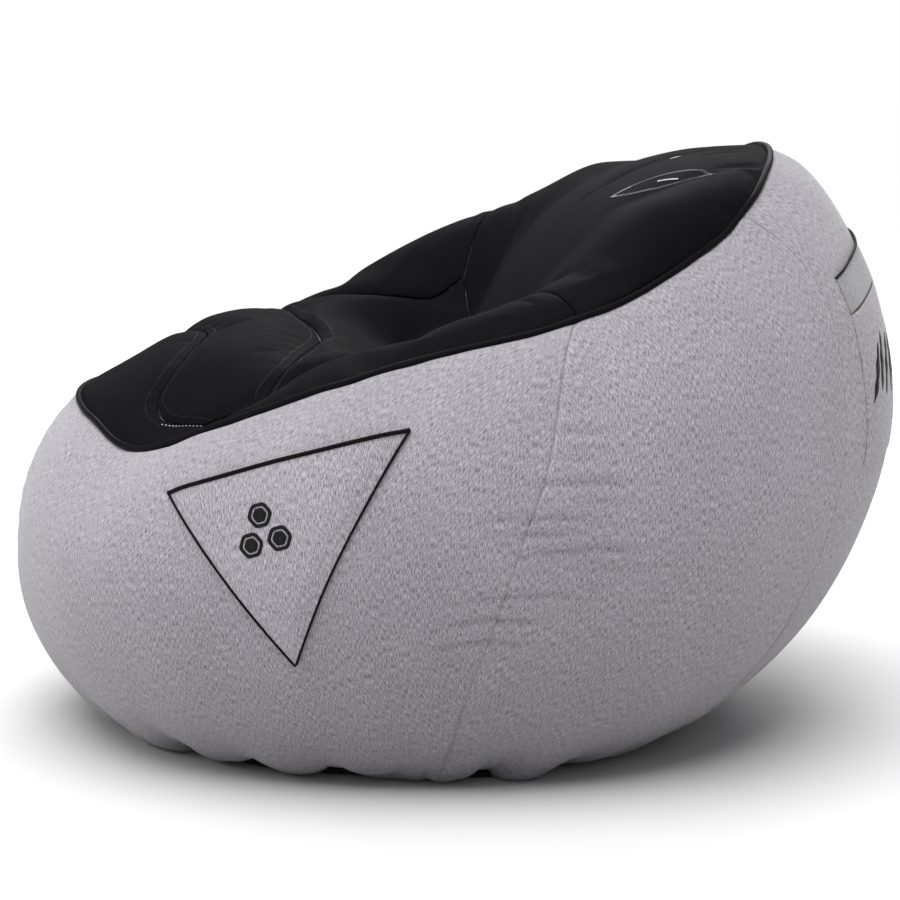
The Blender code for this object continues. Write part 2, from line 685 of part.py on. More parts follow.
def make_side_pocket(parts, grey, black):
    """The three-cornered pocket on the left side, with a bound mouth and two corded edges."""
    places = np.array([POCKET_FRONT, POCKET_REAR, POCKET_TIP])
    near = places.mean(axis=0)
    corners = cover(*places.T)
    front, rear, tip = shrunk(corners, SIDE_BINDING_RADIUS + MOUTH_TUCK)

    def place(p, q):
        top = np.outer(1 - p, front) + np.outer(p, rear)
        flat = (1 - q)[:, None] * tip + top * q[:, None]
        return raised_place(*laid_on_cover(flat, near), POCKET_LIFT + POCKET_FABRIC)

    bm = bmesh.new()
    add_grid(bm, lattice(place, steps(POCKET_CELLS), steps(POCKET_CELLS)))
    bmesh.ops.remove_doubles(bm, verts=bm.verts[:], dist=MERGE)
    thicken(add_mesh("side_pocket", bm, grey, parts), POCKET_FABRIC)

    def edge(start, end):
        return start + (end - start) * steps(POCKET_CELLS)[:, None]

    front, rear, tip = corners
    mouth = laid_on_cover(edge(front, rear), near)
    points = raised_place(*mouth, POCKET_LIFT + SIDE_BINDING_RADIUS)
    add_tube("side_pocket_binding", points, SIDE_BINDING_RADIUS, False, black, parts)
    below_mouth = SIDE_BINDING_RADIUS + 3 * SIDE_EDGING_RADIUS
    start, end = (
        corner + (tip - corner) * below_mouth / np.linalg.norm(tip - corner)
        for corner in (front, rear)
    )
    down_and_up = laid_on_cover(np.vstack([edge(start, tip), edge(tip, end)[1:]]), near)
    points = raised_place(*down_and_up, POCKET_LIFT + SIDE_EDGING_RADIUS)
    add_tube("side_pocket_edging", points, SIDE_EDGING_RADIUS, False, black, parts)


def make_back_pocket(parts, grey, black):
    """The flat pocket across the back, with a facing band under its bound mouth."""
    start, end = BACK_POCKET_SIDE, 2 - BACK_POCKET_SIDE
    lift = POCKET_LIFT + POCKET_FABRIC
    across = columns_between(start, end)
    body = moved(panel(start, end, BACK_POCKET_BOTTOM, BACK_POCKET_BAND), lift)
    points = cut_back(lattice(body, across, steps(BACK_POCKET_ROWS)), SEAM, SEAM, SEAM, SEAM)
    add_sheet("back_pocket", points, POCKET_FABRIC, grey, parts)
    band = moved(panel(start, end, BACK_POCKET_BAND, BACK_POCKET_TOP), lift)
    mouth_margin = BACK_BINDING_RADIUS + MOUTH_TUCK
    points = cut_back(lattice(band, across, steps(BAND_ROWS)), SEAM, SEAM, SEAM, mouth_margin)
    add_sheet("back_pocket_band", points, POCKET_FABRIC, grey, parts)
    raised = moved(panel(start, end), POCKET_LIFT + BACK_BINDING_RADIUS)
    points = raised(across, 0 * across + BACK_POCKET_TOP / 2)
    add_tube("back_pocket_binding", points, BACK_BINDING_RADIUS, False, black, parts)


def make_zip(parts, tape, metal):
    """The zip across the base: two halves, a stop at each end and the slider between them."""
    half = ZIP_LENGTH / 2
    inner = ZIP_GAP / 2
    outer = inner + TOOTH_WIDTH
    tape_low = BASE + STEP_IN
    for name, side in (("zip_half_front", -1), ("zip_half_back", 1)):
        section = [
            (inner, TOOTH_BOTTOM), (outer, TOOTH_BOTTOM), (outer, tape_low),
            (outer + TAPE_WIDTH, tape_low), (outer + TAPE_WIDTH, tape_low + TAPE_THICKNESS),
            (outer, tape_low + TAPE_THICKNESS), (inner, TOOTH_TOP + TAPE_THICKNESS),
        ]
        add_bar(name, section, side, -half, half, tape, parts)
    for name, side in (("zip_stop_left", 1), ("zip_stop_right", -1)):
        bm = bmesh.new()
        ends = sorted((side * (half + STEP_IN), side * (half + STEP_IN + STOP_LENGTH)))
        low = (ends[0], ZIP_Y - outer, TOOTH_BOTTOM)
        high = (ends[1], ZIP_Y + outer, TOOTH_TOP)
        add_box(bm, low, high)
        add_mesh(name, bm, metal, parts)

    bottom = TOOTH_BOTTOM - SLIDER_CLEARANCE - SLIDER_PLATE
    top = TOOTH_TOP + TAPE_THICKNESS + SLIDER_CLEARANCE + SLIDER_PLATE
    neck = SLIDER_NECK / 2
    section = [
        (0, bottom), (outer, bottom), (outer, bottom + SLIDER_PLATE), (neck, bottom + SLIDER_PLATE),
        (neck, top - SLIDER_PLATE), (outer, top - SLIDER_PLATE), (outer, top), (0, top),
    ]
    section += [(-y, z) for y, z in section[-2:0:-1]]
    add_bar("zip_slider", section, 1, half - SLIDER_LENGTH, half, metal, parts)


def add_bar(name, section, side, start, end, material, collection):
    """A straight bar along X from its section, whose points are (distance from the zip, z)."""
    bm = bmesh.new()
    face = bm.faces.new([bm.verts.new((start, ZIP_Y + side * y, z)) for y, z in section])
    grown = bmesh.ops.extrude_face_region(bm, geom=[face])["geom"]
    for vert in (item for item in grown if isinstance(item, bmesh.types.BMVert)):
        vert.co.x = end
    bmesh.ops.recalc_face_normals(bm, faces=bm.faces[:])
    return add_mesh(name, bm, material, collection)


def main():
    clear_scene()
    parts = new_collection("bean_bag_chair")
    cutters = new_collection("cutters")
    grey = fabric("grey_cover", (0.42, 0.42, 0.45), 0.95)
    black = fabric("black_seat", (0.012, 0.012, 0.014), 0.75)
    piping = fabric("black_piping", (0.015, 0.015, 0.017), 0.6)
    base = fabric("black_base", (0.015, 0.015, 0.016), 0.9)
    white = fabric("white_wadding", (0.85, 0.85, 0.84), 1.0)
    liner = fabric("white_liner", (0.75, 0.76, 0.78), 0.8)
    beads = fabric("white_beads", (0.9, 0.9, 0.9), 0.7)
    metal = fabric("zip_metal", (0.25, 0.25, 0.27), 0.35, metallic=1.0)

    make_cover(parts, grey)
    make_seat(parts, black)
    make_wadding(parts, white)
    make_piping(parts, piping)
    make_base(parts, cutters, base)
    make_liner(parts, liner)
    make_filling(parts, beads)
    make_side_pocket(parts, grey, piping)
    make_back_pocket(parts, grey, piping)
    make_zip(parts, base, metal)


main()
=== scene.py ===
# %% [markdown]
# # A bean bag chair, sewn piece by piece
#
# A bean bag chair looks simple, but it is a good deal of sewing. A grey linen-look cover of five
# panels holds a liner full of beads. A padded black seat of six quilted parts is sewn into its
# top, and one length of piping runs round the seam between the two. This lesson builds each of
# them as its own piece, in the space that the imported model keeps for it.

# %% Open the frame
from math import cos, pi, radians, sin

import bmesh
import bpy
import numpy as np
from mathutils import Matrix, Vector
from mathutils.bvhtree import BVHTree


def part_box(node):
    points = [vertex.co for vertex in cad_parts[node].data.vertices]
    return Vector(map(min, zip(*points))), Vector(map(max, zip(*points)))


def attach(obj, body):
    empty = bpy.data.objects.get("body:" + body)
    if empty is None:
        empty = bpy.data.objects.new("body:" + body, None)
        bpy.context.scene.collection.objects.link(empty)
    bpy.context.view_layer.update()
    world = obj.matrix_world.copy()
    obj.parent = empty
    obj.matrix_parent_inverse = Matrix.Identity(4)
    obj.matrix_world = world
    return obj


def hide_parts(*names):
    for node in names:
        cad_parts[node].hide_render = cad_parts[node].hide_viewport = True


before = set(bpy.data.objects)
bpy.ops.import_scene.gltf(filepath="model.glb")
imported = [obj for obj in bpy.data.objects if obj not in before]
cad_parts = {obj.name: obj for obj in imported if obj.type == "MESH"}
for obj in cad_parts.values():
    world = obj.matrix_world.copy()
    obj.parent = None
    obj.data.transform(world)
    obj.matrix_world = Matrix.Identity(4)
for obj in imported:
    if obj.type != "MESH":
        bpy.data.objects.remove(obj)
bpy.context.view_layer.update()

CHAIR, SLIDER = "chair", "slider"

# %% [markdown]
# ## The shape that everything follows
#
# A cover, its seat and all the layers inside lie one over another, so they can't be drawn one by
# one by eye. A maker works from one form, like the wooden form of a shoemaker. Here it is two
# functions: `cover` gives the outside of the bag from the base edge up to the rim, and `seat`
# gives the padded seat inside the rim. Every fabric piece is a patch of one of them. The numbers
# are the pattern's own: shares of the half width, half length and height.

# %% Overall sizes, in metres
WIDTH, LENGTH, HEIGHT = 0.86, 0.98, 0.648
HALF_SIZE = np.array([WIDTH / 2, LENGTH / 2, HEIGHT])

COVER = 0.0025           # grey fabric
PAD_COVER = 0.003        # black fabric
WADDING = 0.010
LINER = 0.0015
BASE = 0.003
PIPING_RADIUS = 0.0036

# %% Pattern of the bag: the rim, the belly and the base
RIM = [
    (0.000, -0.853, 0.571), (0.302, -0.812, 0.562), (0.535, -0.704, 0.534), (0.698, -0.510, 0.594),
    (0.767, -0.306, 0.654), (0.802, -0.082, 0.707), (0.802, 0.143, 0.747), (0.756, 0.306, 0.784),
    (0.663, 0.439, 0.830), (0.535, 0.551, 0.873), (0.384, 0.643, 0.929), (0.198, 0.704, 0.975),
    (0.000, 0.724, 0.991),
]
FRONT_CORNER, BACK_CORNER = 2, 10
BELLY_POWER, BASE_POWER = 2.15, 2.10
BELLY_HEIGHT = (0.298, 0.568)
BASE_OVAL = (0.674, 0.714, 0.418)
SHOULDER = (radians(48), radians(68))
FOOT_POWER = 0.85
SIDE_SEAM = [(0.0, 0.468), (0.6, 0.497), (1.2, 0.535), (2.0, 0.533)]
BACK_SEAM = [(0.0, 0.790), (1.0, 0.795), (1.6, 0.806), (2.0, 0.793)]
SIDE_TOP, BACK_TOP = SIDE_SEAM[-1][1], BACK_SEAM[-1][1]

# %% Smooth curves through a few points


def smooth(low, high, x):
    """0 before low and 1 after high, with a soft start and end."""
    share = np.clip((x - low) / (high - low), 0, 1)
    return share * share * (3 - 2 * share)


def profile(points, x):
    """A smooth curve y(x) through the points."""
    px, py = np.array(points, float).T
    slope = np.gradient(py, px)
    i = np.clip(np.searchsorted(px, x, side="right") - 1, 0, len(px) - 2)
    h = px[i + 1] - px[i]
    t = (x - px[i]) / h
    rise = (2 * t**3 - 3 * t**2 + 1) * py[i] + (3 * t**2 - 2 * t**3) * py[i + 1]
    return rise + (t**3 - 2 * t**2 + t) * h * slope[i] + (t**3 - t**2) * h * slope[i + 1]


def rim(place):
    """The rim's points: 0 is the front centre and 1 the back centre, along the +X side."""
    knots = np.array(RIM) * HALF_SIZE
    mirror = np.array([-1.0, 1.0, 1.0])
    knots = np.vstack([knots[1] * mirror, knots, knots[-2] * mirror])
    along = np.clip(place, 0, 1) * (len(RIM) - 1)
    i = np.minimum(along.astype(int), len(RIM) - 2)
    f = (along - i)[:, None]
    a, b, c, d = knots[i], knots[i + 1], knots[i + 2], knots[i + 3]
    cubic = (3 * (b - c) + d - a) * f**3 + (2 * a - 5 * b + 4 * c - d) * f**2
    return 0.5 * (cubic + (c - a) * f + 2 * b)


# %% The bag's outside


def oval(place, half, front, back, power):
    c, s = np.cos(place * pi), np.sin(place * pi)
    x = half * np.abs(s) ** (2 / power)
    y = -np.where(c > 0, front, back) * np.sign(c) * np.abs(c) ** (2 / power)
    return np.stack([x, y], 1)


def bag(place, height):
    """The outside of the bag's +X half. Height runs 0 at the base, 1 at the belly, 2 at the rim."""
    turn = (1 - np.cos(place * pi)) / 2
    half, front, back = np.array(BASE_OVAL) * [WIDTH / 2, LENGTH / 2, LENGTH / 2]
    foot = oval(place, half, front, back, BASE_POWER)
    belly = oval(place, WIDTH / 2, LENGTH / 2, LENGTH / 2, BELLY_POWER)
    belly_z = HEIGHT * (BELLY_HEIGHT[0] + (BELLY_HEIGHT[1] - BELLY_HEIGHT[0]) * turn)
    top = rim(place)
    low = np.clip(height, 0, 1) * pi / 2
    shoulder = SHOULDER[0] + (SHOULDER[1] - SHOULDER[0]) * turn
    high = np.clip(height - 1, 0, 1) * shoulder
    out = foot + (belly - foot) * np.sin(low)[:, None]
    out = out + (top[:, :2] - belly) * ((1 - np.cos(high)) / (1 - np.cos(shoulder)))[:, None]
    z = belly_z * (1 - np.cos(low)) ** FOOT_POWER
    z = z + (top[:, 2] - belly_z) * np.sin(high) / np.sin(shoulder)
    return np.column_stack([out, z])


def cover(round_, height):
    """The bag's outside, all the way round: 0 front, 1 back, 2 front again by the -X side.
    Places are counted along the rim, and lean with the side and back seams below it."""
    mirrored = round_ > 1
    place = np.where(mirrored, 2 - round_, round_)
    side, back = profile(SIDE_SEAM, height), profile(BACK_SEAM, height)
    in_front = place * side / SIDE_TOP
    between = side + (place - SIDE_TOP) / (BACK_TOP - SIDE_TOP) * (back - side)
    behind = back + (place - BACK_TOP) / (1 - BACK_TOP) * (1 - back)
    place = np.where(place < SIDE_TOP, in_front, np.where(place < BACK_TOP, between, behind))
    points = bag(place, height)
    points[:, 0] *= np.where(mirrored, -1, 1)
    return points


# %% Pattern of the seat: its middle line, its arms and its dip
CENTRE = [
    (-0.853, 0.571), (-0.735, 0.617), (-0.612, 0.671), (-0.469, 0.694), (-0.306, 0.676),
    (-0.143, 0.606), (-0.031, 0.576), (0.071, 0.676), (0.184, 0.799), (0.286, 0.887),
    (0.388, 0.951), (0.510, 0.988), (0.633, 1.000), (0.724, 0.991),
]
ARM_RISE = [
    (0.00, 0.000), (0.10, 0.000), (0.30, 0.0154), (0.45, 0.0401), (0.60, 0.0463), (0.80, 0.0185),
    (1.00, 0.000),
]
ARM_CREST, ARM_FOOT = 0.80, 0.45
HOLLOW, LEAN, DOME_POWER = (0.35, 0.90), (0.50, 0.72), 2.4


def seat(u, v):
    """The padded seat: u runs -1 to 1 across it and v 0 to 1 from its front to its back."""
    last = len(RIM) - 1
    mirror = np.column_stack([np.where(u < 0, -1.0, 1.0), np.ones_like(u), np.ones_like(u)])
    flip = np.array([-1.0, 1.0, 1.0])
    out = np.abs(u)
    front = rim(out * FRONT_CORNER / last) * mirror
    back = rim(1 - out * (last - BACK_CORNER) / last) * mirror
    right = rim((FRONT_CORNER + v * (BACK_CORNER - FRONT_CORNER)) / last)
    left = right * flip
    near, far = rim(np.array([FRONT_CORNER, BACK_CORNER]) / last)
    a, w = ((u + 1) / 2)[:, None], v[:, None]
    corners = (1 - w) * ((1 - a) * near * flip + a * near) + w * ((1 - a) * far * flip + a * far)
    points = (1 - w) * front + w * back + (1 - a) * left + a * right - corners

    middle = (1 - v) * rim(0 * u)[:, 1] + v * rim(0 * u + 1)[:, 1]
    middle_z = (1 - v) * rim(0 * u)[:, 2] + v * rim(0 * u + 1)[:, 2]
    side_line = right[:, 1:] - (1 - w) * near[1:] - w * far[1:]
    middle, middle_z = middle + side_line[:, 0], middle_z + side_line[:, 1]
    rise = HEIGHT * profile(CENTRE, middle / (LENGTH / 2)) - middle_z
    hollow = 1 - smooth(*HOLLOW, out)
    dome = np.sqrt(np.clip(1 - out**DOME_POWER, 0, 1))
    to_back = smooth(*LEAN, v)
    rolled = np.sqrt(np.clip(1 - ((out - ARM_CREST) / (1 - ARM_CREST)) ** 2, 0, 1))
    arm = np.where(out < ARM_CREST, smooth(ARM_FOOT, ARM_CREST, out), rolled)
    points[:, 2] += rise * (hollow * (1 - to_back) + dome * to_back)
    points[:, 2] += HEIGHT * profile(ARM_RISE, v) * arm
    return points


print("rim's highest point:", round(float(rim(np.array([1.0]))[0, 2]), 3))

# %% [markdown]
# ## Camera, floor and light
#
# The camera comes first, so that every piece can be looked at as soon as it is made. The chair is
# seen from its left side and a little from above, through a long lens, which keeps its round
# belly from bulging. The floor is a plain sheet with a painted soft shadow: its colour is a little
# greyer under the chair than further out.
# Most of the light is one very wide sun from high up, which gives the folds a soft shaded side.
# Two soft boxes help it: one in front that lights the seat's front edge, and one behind that draws
# a faint edge along the black backrest. A weak white world fills the shadows.

# %% Camera
AZIMUTH, ELEVATION, DISTANCE = radians(86), radians(10.5), 3.2
LOOK_AT = Vector((0, 0, 0.298))
LENS = 112.4

toward_camera = Vector((sin(AZIMUTH) * cos(ELEVATION), -cos(AZIMUTH) * cos(ELEVATION), sin(ELEVATION)))
camera = bpy.data.objects.new("camera", bpy.data.cameras.new("camera"))
camera.data.lens = LENS
camera.location = LOOK_AT + DISTANCE * toward_camera
camera.rotation_euler = toward_camera.to_track_quat("Z", "Y").to_euler()
bpy.context.scene.collection.objects.link(camera)
bpy.context.scene.camera = camera

# %% Floor and surroundings
FLOOR_REACH = 60

bm = bmesh.new()
bmesh.ops.create_grid(bm, x_segments=1, y_segments=1, size=FLOOR_REACH)
floor_mesh = bpy.data.meshes.new("floor")
bm.to_mesh(floor_mesh)
bm.free()
floor = bpy.data.objects.new("floor", floor_mesh)
bpy.context.scene.collection.objects.link(floor)
floor_paint = bpy.data.materials.new("floor_paint")
floor_paint.use_nodes = True
paint_nodes, paint_links = floor_paint.node_tree.nodes, floor_paint.node_tree.links
from_middle = paint_nodes.new("ShaderNodeVectorMath")
from_middle.operation = "LENGTH"
paint_links.new(paint_nodes.new("ShaderNodeTexCoord").outputs["Object"], from_middle.inputs[0])
# Painted shadow: the floor's colour is 0.74 near the chair and pales to 0.88 beyond 0.95 m.
painted_floor_shadow = paint_nodes.new("ShaderNodeMapRange")
painted_floor_shadow.interpolation_type = "SMOOTHSTEP"
for value, label in ((0.30, "From Min"), (0.95, "From Max"), (0.74, "To Min"), (0.88, "To Max")):
    painted_floor_shadow.inputs[label].default_value = value
paint_links.new(from_middle.outputs["Value"], painted_floor_shadow.inputs["Value"])
paint_links.new(painted_floor_shadow.outputs["Result"], paint_nodes["Principled BSDF"].inputs["Base Color"])
floor_paint.node_tree.nodes["Principled BSDF"].inputs["Roughness"].default_value = 0.9
floor_mesh.materials.append(floor_paint)

world = bpy.data.worlds.new("studio")
world.use_nodes = True
world.node_tree.nodes["Background"].inputs["Color"].default_value = (1.0, 1.0, 1.0, 1)
world.node_tree.nodes["Background"].inputs["Strength"].default_value = 0.22
bpy.context.scene.world = world
bpy.context.scene.view_settings.view_transform = "Standard"

# %% Soft lights
def aim(obj, place):
    obj.location = place
    obj.rotation_euler = (Vector(place) - LOOK_AT).to_track_quat("Z", "Y").to_euler()
    bpy.context.scene.collection.objects.link(obj)


overhead = bpy.data.lights.new("overhead", "SUN")
overhead.energy, overhead.angle = 3.15, radians(55)
aim(bpy.data.objects.new("overhead", overhead), (1.0, -0.7, 5.2))
SOFT_BOXES = {           # place, width and height in metres, power in watts
    "front_edge": ((0.6, -2.8, 1.6), 1.6, 1.2, 18),
    "behind": ((-2.0, 0.6, 1.9), 2.4, 0.8, 34),
}
for name, (place, width, height, power) in SOFT_BOXES.items():
    light = bpy.data.lights.new(name, "AREA")
    light.shape, light.size, light.size_y, light.energy = "RECTANGLE", width, height, power
    aim(bpy.data.objects.new(name, light), place)
print("lights:", "overhead,", ", ".join(SOFT_BOXES))

# %% [markdown]
# ## From a patch to a piece of cloth
#
# A patch is sampled into a grid of points, row by row, as if threads were laid over the form. One
# grid moved in by the cloth's thickness makes the other face, and a strip round the edge closes
# the two. The same helper serves each fabric piece, so every seam edge has a true thickness. The
# distances along the threads go into a UV map in metres, which lets a weave follow the cloth.

# %% Grids of points
STEP = 1e-4


def steps(count):
    return np.linspace(0, 1, count + 1)


def lattice(place, across, along):
    """The patch's points, as an array [column, row, xyz]."""
    p, q = np.meshgrid(across, along, indexing="ij")
    return place(p.ravel(), q.ravel()).reshape(len(across), len(along), 3)


def normals(points):
    """Unit normals of a grid, that point out of the chair."""
    normal = np.cross(np.gradient(points, axis=0), np.gradient(points, axis=1))
    return normal / np.maximum(np.linalg.norm(normal, axis=2), 1e-12)[..., None]


def lengths(points):
    """Distance of each grid point from the first column and from the first row, in metres."""
    across = np.linalg.norm(np.diff(points, axis=0), axis=2).cumsum(axis=0)
    along = np.linalg.norm(np.diff(points, axis=1), axis=2).cumsum(axis=1)
    return np.pad(across, ((1, 0), (0, 0))), np.pad(along, ((0, 0), (1, 0)))


def edge_gaps(points):
    """Distance of each grid point from the left, right, low and high edge."""
    across, along = lengths(points)
    return across, across[-1] - across, along, along[:, -1:] - along


# %% Closing a grid into a piece


def grid_faces(columns, rows, first=0):
    index = first + np.arange(columns * rows).reshape(columns, rows)
    return np.stack([index[:-1, :-1], index[1:, :-1], index[1:, 1:], index[:-1, 1:]], axis=2).reshape(-1, 4)


def ring_of(columns, rows):
    """Indices of the grid's edge points, once round, against the clock seen from outside."""
    index = np.arange(columns * rows).reshape(columns, rows)
    return np.concatenate([index[:-1, 0], index[-1, :-1], index[:0:-1, -1], index[0, :0:-1]])


def make_object(name, points, faces, material):
    mesh = bpy.data.meshes.new(name)
    mesh.from_pydata(points, [], faces)
    mesh.materials.append(material)
    mesh.shade_smooth()
    obj = bpy.data.objects.new(name, mesh)
    bpy.context.scene.collection.objects.link(obj)
    return obj


def closed_faces(columns, rows, around=False):
    """Both grids' faces and the strip between them. A grid that runs all the way round has a strip
    along its first and last row only, because its first and last column meet."""
    count = columns * rows
    ring = ring_of(columns, rows)
    following = np.roll(ring, -1)
    if around:
        level = ring % rows == following % rows
        ring, following = ring[level], following[level]
    wall = np.stack([ring, ring + count, following + count, following], axis=1)
    return np.concatenate([grid_faces(columns, rows), grid_faces(columns, rows, count)[:, ::-1], wall])


def merged(obj, distance=1e-6):
    """Welds the points that lie together, and turns every face outwards."""
    bm = bmesh.new()
    bm.from_mesh(obj.data)
    bmesh.ops.remove_doubles(bm, verts=bm.verts[:], dist=distance)
    bmesh.ops.recalc_face_normals(bm, faces=bm.faces[:])
    bm.to_mesh(obj.data)
    bm.free()
    return obj


def shell(name, top, bottom, material, around=False):
    """A closed piece between two grids. Its UV map holds metres along the cloth."""
    columns, rows = top.shape[:2]
    points = np.concatenate([top.reshape(-1, 3), bottom.reshape(-1, 3)])
    obj = make_object(name, points, closed_faces(columns, rows, around), material)
    across, along = lengths(top)
    flat = np.stack([across - across[columns // 2], along], axis=2).reshape(-1, 2)
    flat = np.concatenate([flat, flat])
    uv = obj.data.uv_layers.new(name="cloth")
    corners = np.zeros(len(obj.data.loops), np.int32)
    obj.data.loops.foreach_get("vertex_index", corners)
    uv.data.foreach_set("uv", flat[corners].astype(np.float32).ravel())
    return merged(obj) if around else obj


made = {}                # the piece that stands for each node


def finish_piece(obj, body, slot, *nodes):
    """The calls that every piece ends with."""
    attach(obj, body)
    if nodes:
        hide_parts(*nodes)
        made.update({node: obj for node in nodes})
    print(f"{obj.name}: {len(obj.data.polygons)} faces")
    return obj


def refine(obj, levels=1):
    """One round of subdivision, which rounds the cloth's edges."""
    subdivision = obj.modifiers.new("fine", "SUBSURF")
    subdivision.levels = subdivision.render_levels = levels
    return obj


# %% Waves for lumps and folds
WAVES = 28


def lumps(points, size, seed, stretch=(1, 1, 1)):
    """A smooth field between about -1 and 1, whose lumps are about size across. A stretch above 1
    along an axis makes them longer that way."""
    rng = np.random.default_rng(seed)
    directions = rng.normal(size=(WAVES, 3))
    directions /= np.linalg.norm(directions, axis=1)[:, None]
    waves = directions * pi / size * rng.uniform(0.7, 1.3, WAVES)[:, None] / np.array(stretch)
    phases = rng.uniform(0, 2 * pi, WAVES)
    return np.sin(points @ waves.T + phases).sum(axis=-1) * np.sqrt(1.2 / WAVES) * 0.9


def creases(points, size, seed, stretch=(1, 1, 1), width=0.35):
    """Narrow ridges that wander: 1 on a ridge and 0 away from it."""
    return np.exp(-((lumps(points, size, seed, stretch) / width) ** 2))


# %% Setting up a material


def new_material(name, colour, roughness, metallic=0.0):
    material = bpy.data.materials.new(name)
    material.use_nodes = True
    shader = material.node_tree.nodes["Principled BSDF"]
    shader.inputs["Base Color"].default_value = (*colour, 1)
    shader.inputs["Roughness"].default_value = roughness
    shader.inputs["Metallic"].default_value = metallic
    material.diffuse_color = (*colour, 1)
    return material


class Finish:
    """A short way to write a material's nodes."""

    def __init__(self, material, source="Object"):
        self.nodes, self.links = material.node_tree.nodes, material.node_tree.links
        self.shader = self.nodes["Principled BSDF"]
        coordinates = self.nodes.new("ShaderNodeTexCoord")
        self.place = coordinates.outputs[source]

    def put(self, value, socket):
        if isinstance(value, bpy.types.NodeSocket):
            self.links.new(value, socket)
        else:
            socket.default_value = value

    def scaled(self, scale, turn=0.0):
        """The coordinates, scaled and turned about Z."""
        node = self.nodes.new("ShaderNodeMapping")
        self.links.new(self.place, node.inputs["Vector"])
        node.inputs["Scale"].default_value = scale
        node.inputs["Rotation"].default_value = (0, 0, turn)
        return node.outputs["Vector"]

    def noise(self, scale, detail=2.0, roughness=0.5, distortion=0.0, size=1.0):
        node = self.nodes.new("ShaderNodeTexNoise")
        self.links.new(self.scaled(scale), node.inputs["Vector"])
        node.inputs["Scale"].default_value = size
        node.inputs["Detail"].default_value = detail
        node.inputs["Roughness"].default_value = roughness
        node.inputs["Distortion"].default_value = distortion
        return node.outputs["Fac"]

    def wave(self, scale, direction, distortion=0.0, profile_="SIN"):
        node = self.nodes.new("ShaderNodeTexWave")
        self.links.new(self.place, node.inputs["Vector"])
        node.bands_direction, node.wave_profile = direction, profile_
        node.inputs["Scale"].default_value = scale
        node.inputs["Distortion"].default_value = distortion
        return node.outputs["Fac"]

    def cells(self, scale, feature="F1"):
        node = self.nodes.new("ShaderNodeTexVoronoi")
        node.feature = feature
        self.links.new(self.scaled(scale), node.inputs["Vector"])
        node.inputs["Scale"].default_value = 1.0
        return node.outputs["Distance"]

    def math(self, operation, a, b=0.0, c=0.0):
        node = self.nodes.new("ShaderNodeMath")
        node.operation = operation
        for value, socket in zip((a, b, c), node.inputs):
            self.put(value, socket)
        return node.outputs[0]

    def between(self, value, low, high, to_low=0.0, to_high=1.0):
        node = self.nodes.new("ShaderNodeMapRange")
        for item, socket in zip((value, low, high, to_low, to_high), node.inputs):
            self.put(item, socket)
        return node.outputs["Result"]

    def mix(self, share, a, b):
        node = self.nodes.new("ShaderNodeMix")
        node.data_type = "RGBA"
        self.put(share, node.inputs["Factor"])
        first, second = [socket for socket in node.inputs if socket.type == "RGBA"]
        self.put(a, first)
        self.put(b, second)
        return next(socket for socket in node.outputs if socket.type == "RGBA")

    def colour(self, value):
        self.put(value, self.shader.inputs["Base Color"])

    def rough(self, value):
        self.put(value, self.shader.inputs["Roughness"])

    def bump(self, height, distance, strength=1.0):
        """Adds relief, over any relief put on before."""
        node = self.nodes.new("ShaderNodeBump")
        self.links.new(height, node.inputs["Height"])
        node.inputs["Distance"].default_value = distance
        node.inputs["Strength"].default_value = strength
        earlier = self.shader.inputs["Normal"].links
        if earlier:
            self.links.new(earlier[0].from_socket, node.inputs["Normal"])
        self.links.new(node.outputs["Normal"], self.shader.inputs["Normal"])


print("helpers ready")

# %% [markdown]
# ## Grey cover cloth
#
# The cover is a heathered, linen-look polyester. Its yarns are spun from light and dark fibres, so
# the cloth isn't one grey: short slubs of each shade run along the warp, and fewer run across it.
# Two noises do this, each stretched a good deal along its own thread, over a plain weave of fine
# relief. They read the UV map in metres, so the grain climbs the bag's side as the cloth does. On
# the cover the colour is also painted darker towards the floor: painted shade.

# %% Heathered weave
GREY_LIGHT = (0.52, 0.50, 0.552, 1)
GREY_MIDDLE = (0.325, 0.312, 0.346, 1)
GREY_DARK = (0.150, 0.143, 0.163, 1)
THREADS = 780            # threads in a metre
# Painted shade: the cover's colour darkens towards the floor, by up to half, over the lowest 0.42 m of cloth.
PAINTED_SHADE_TO, PAINTED_SHADE_SHARE = 0.42, 0.50     # the cloth darkens towards the floor it stands on


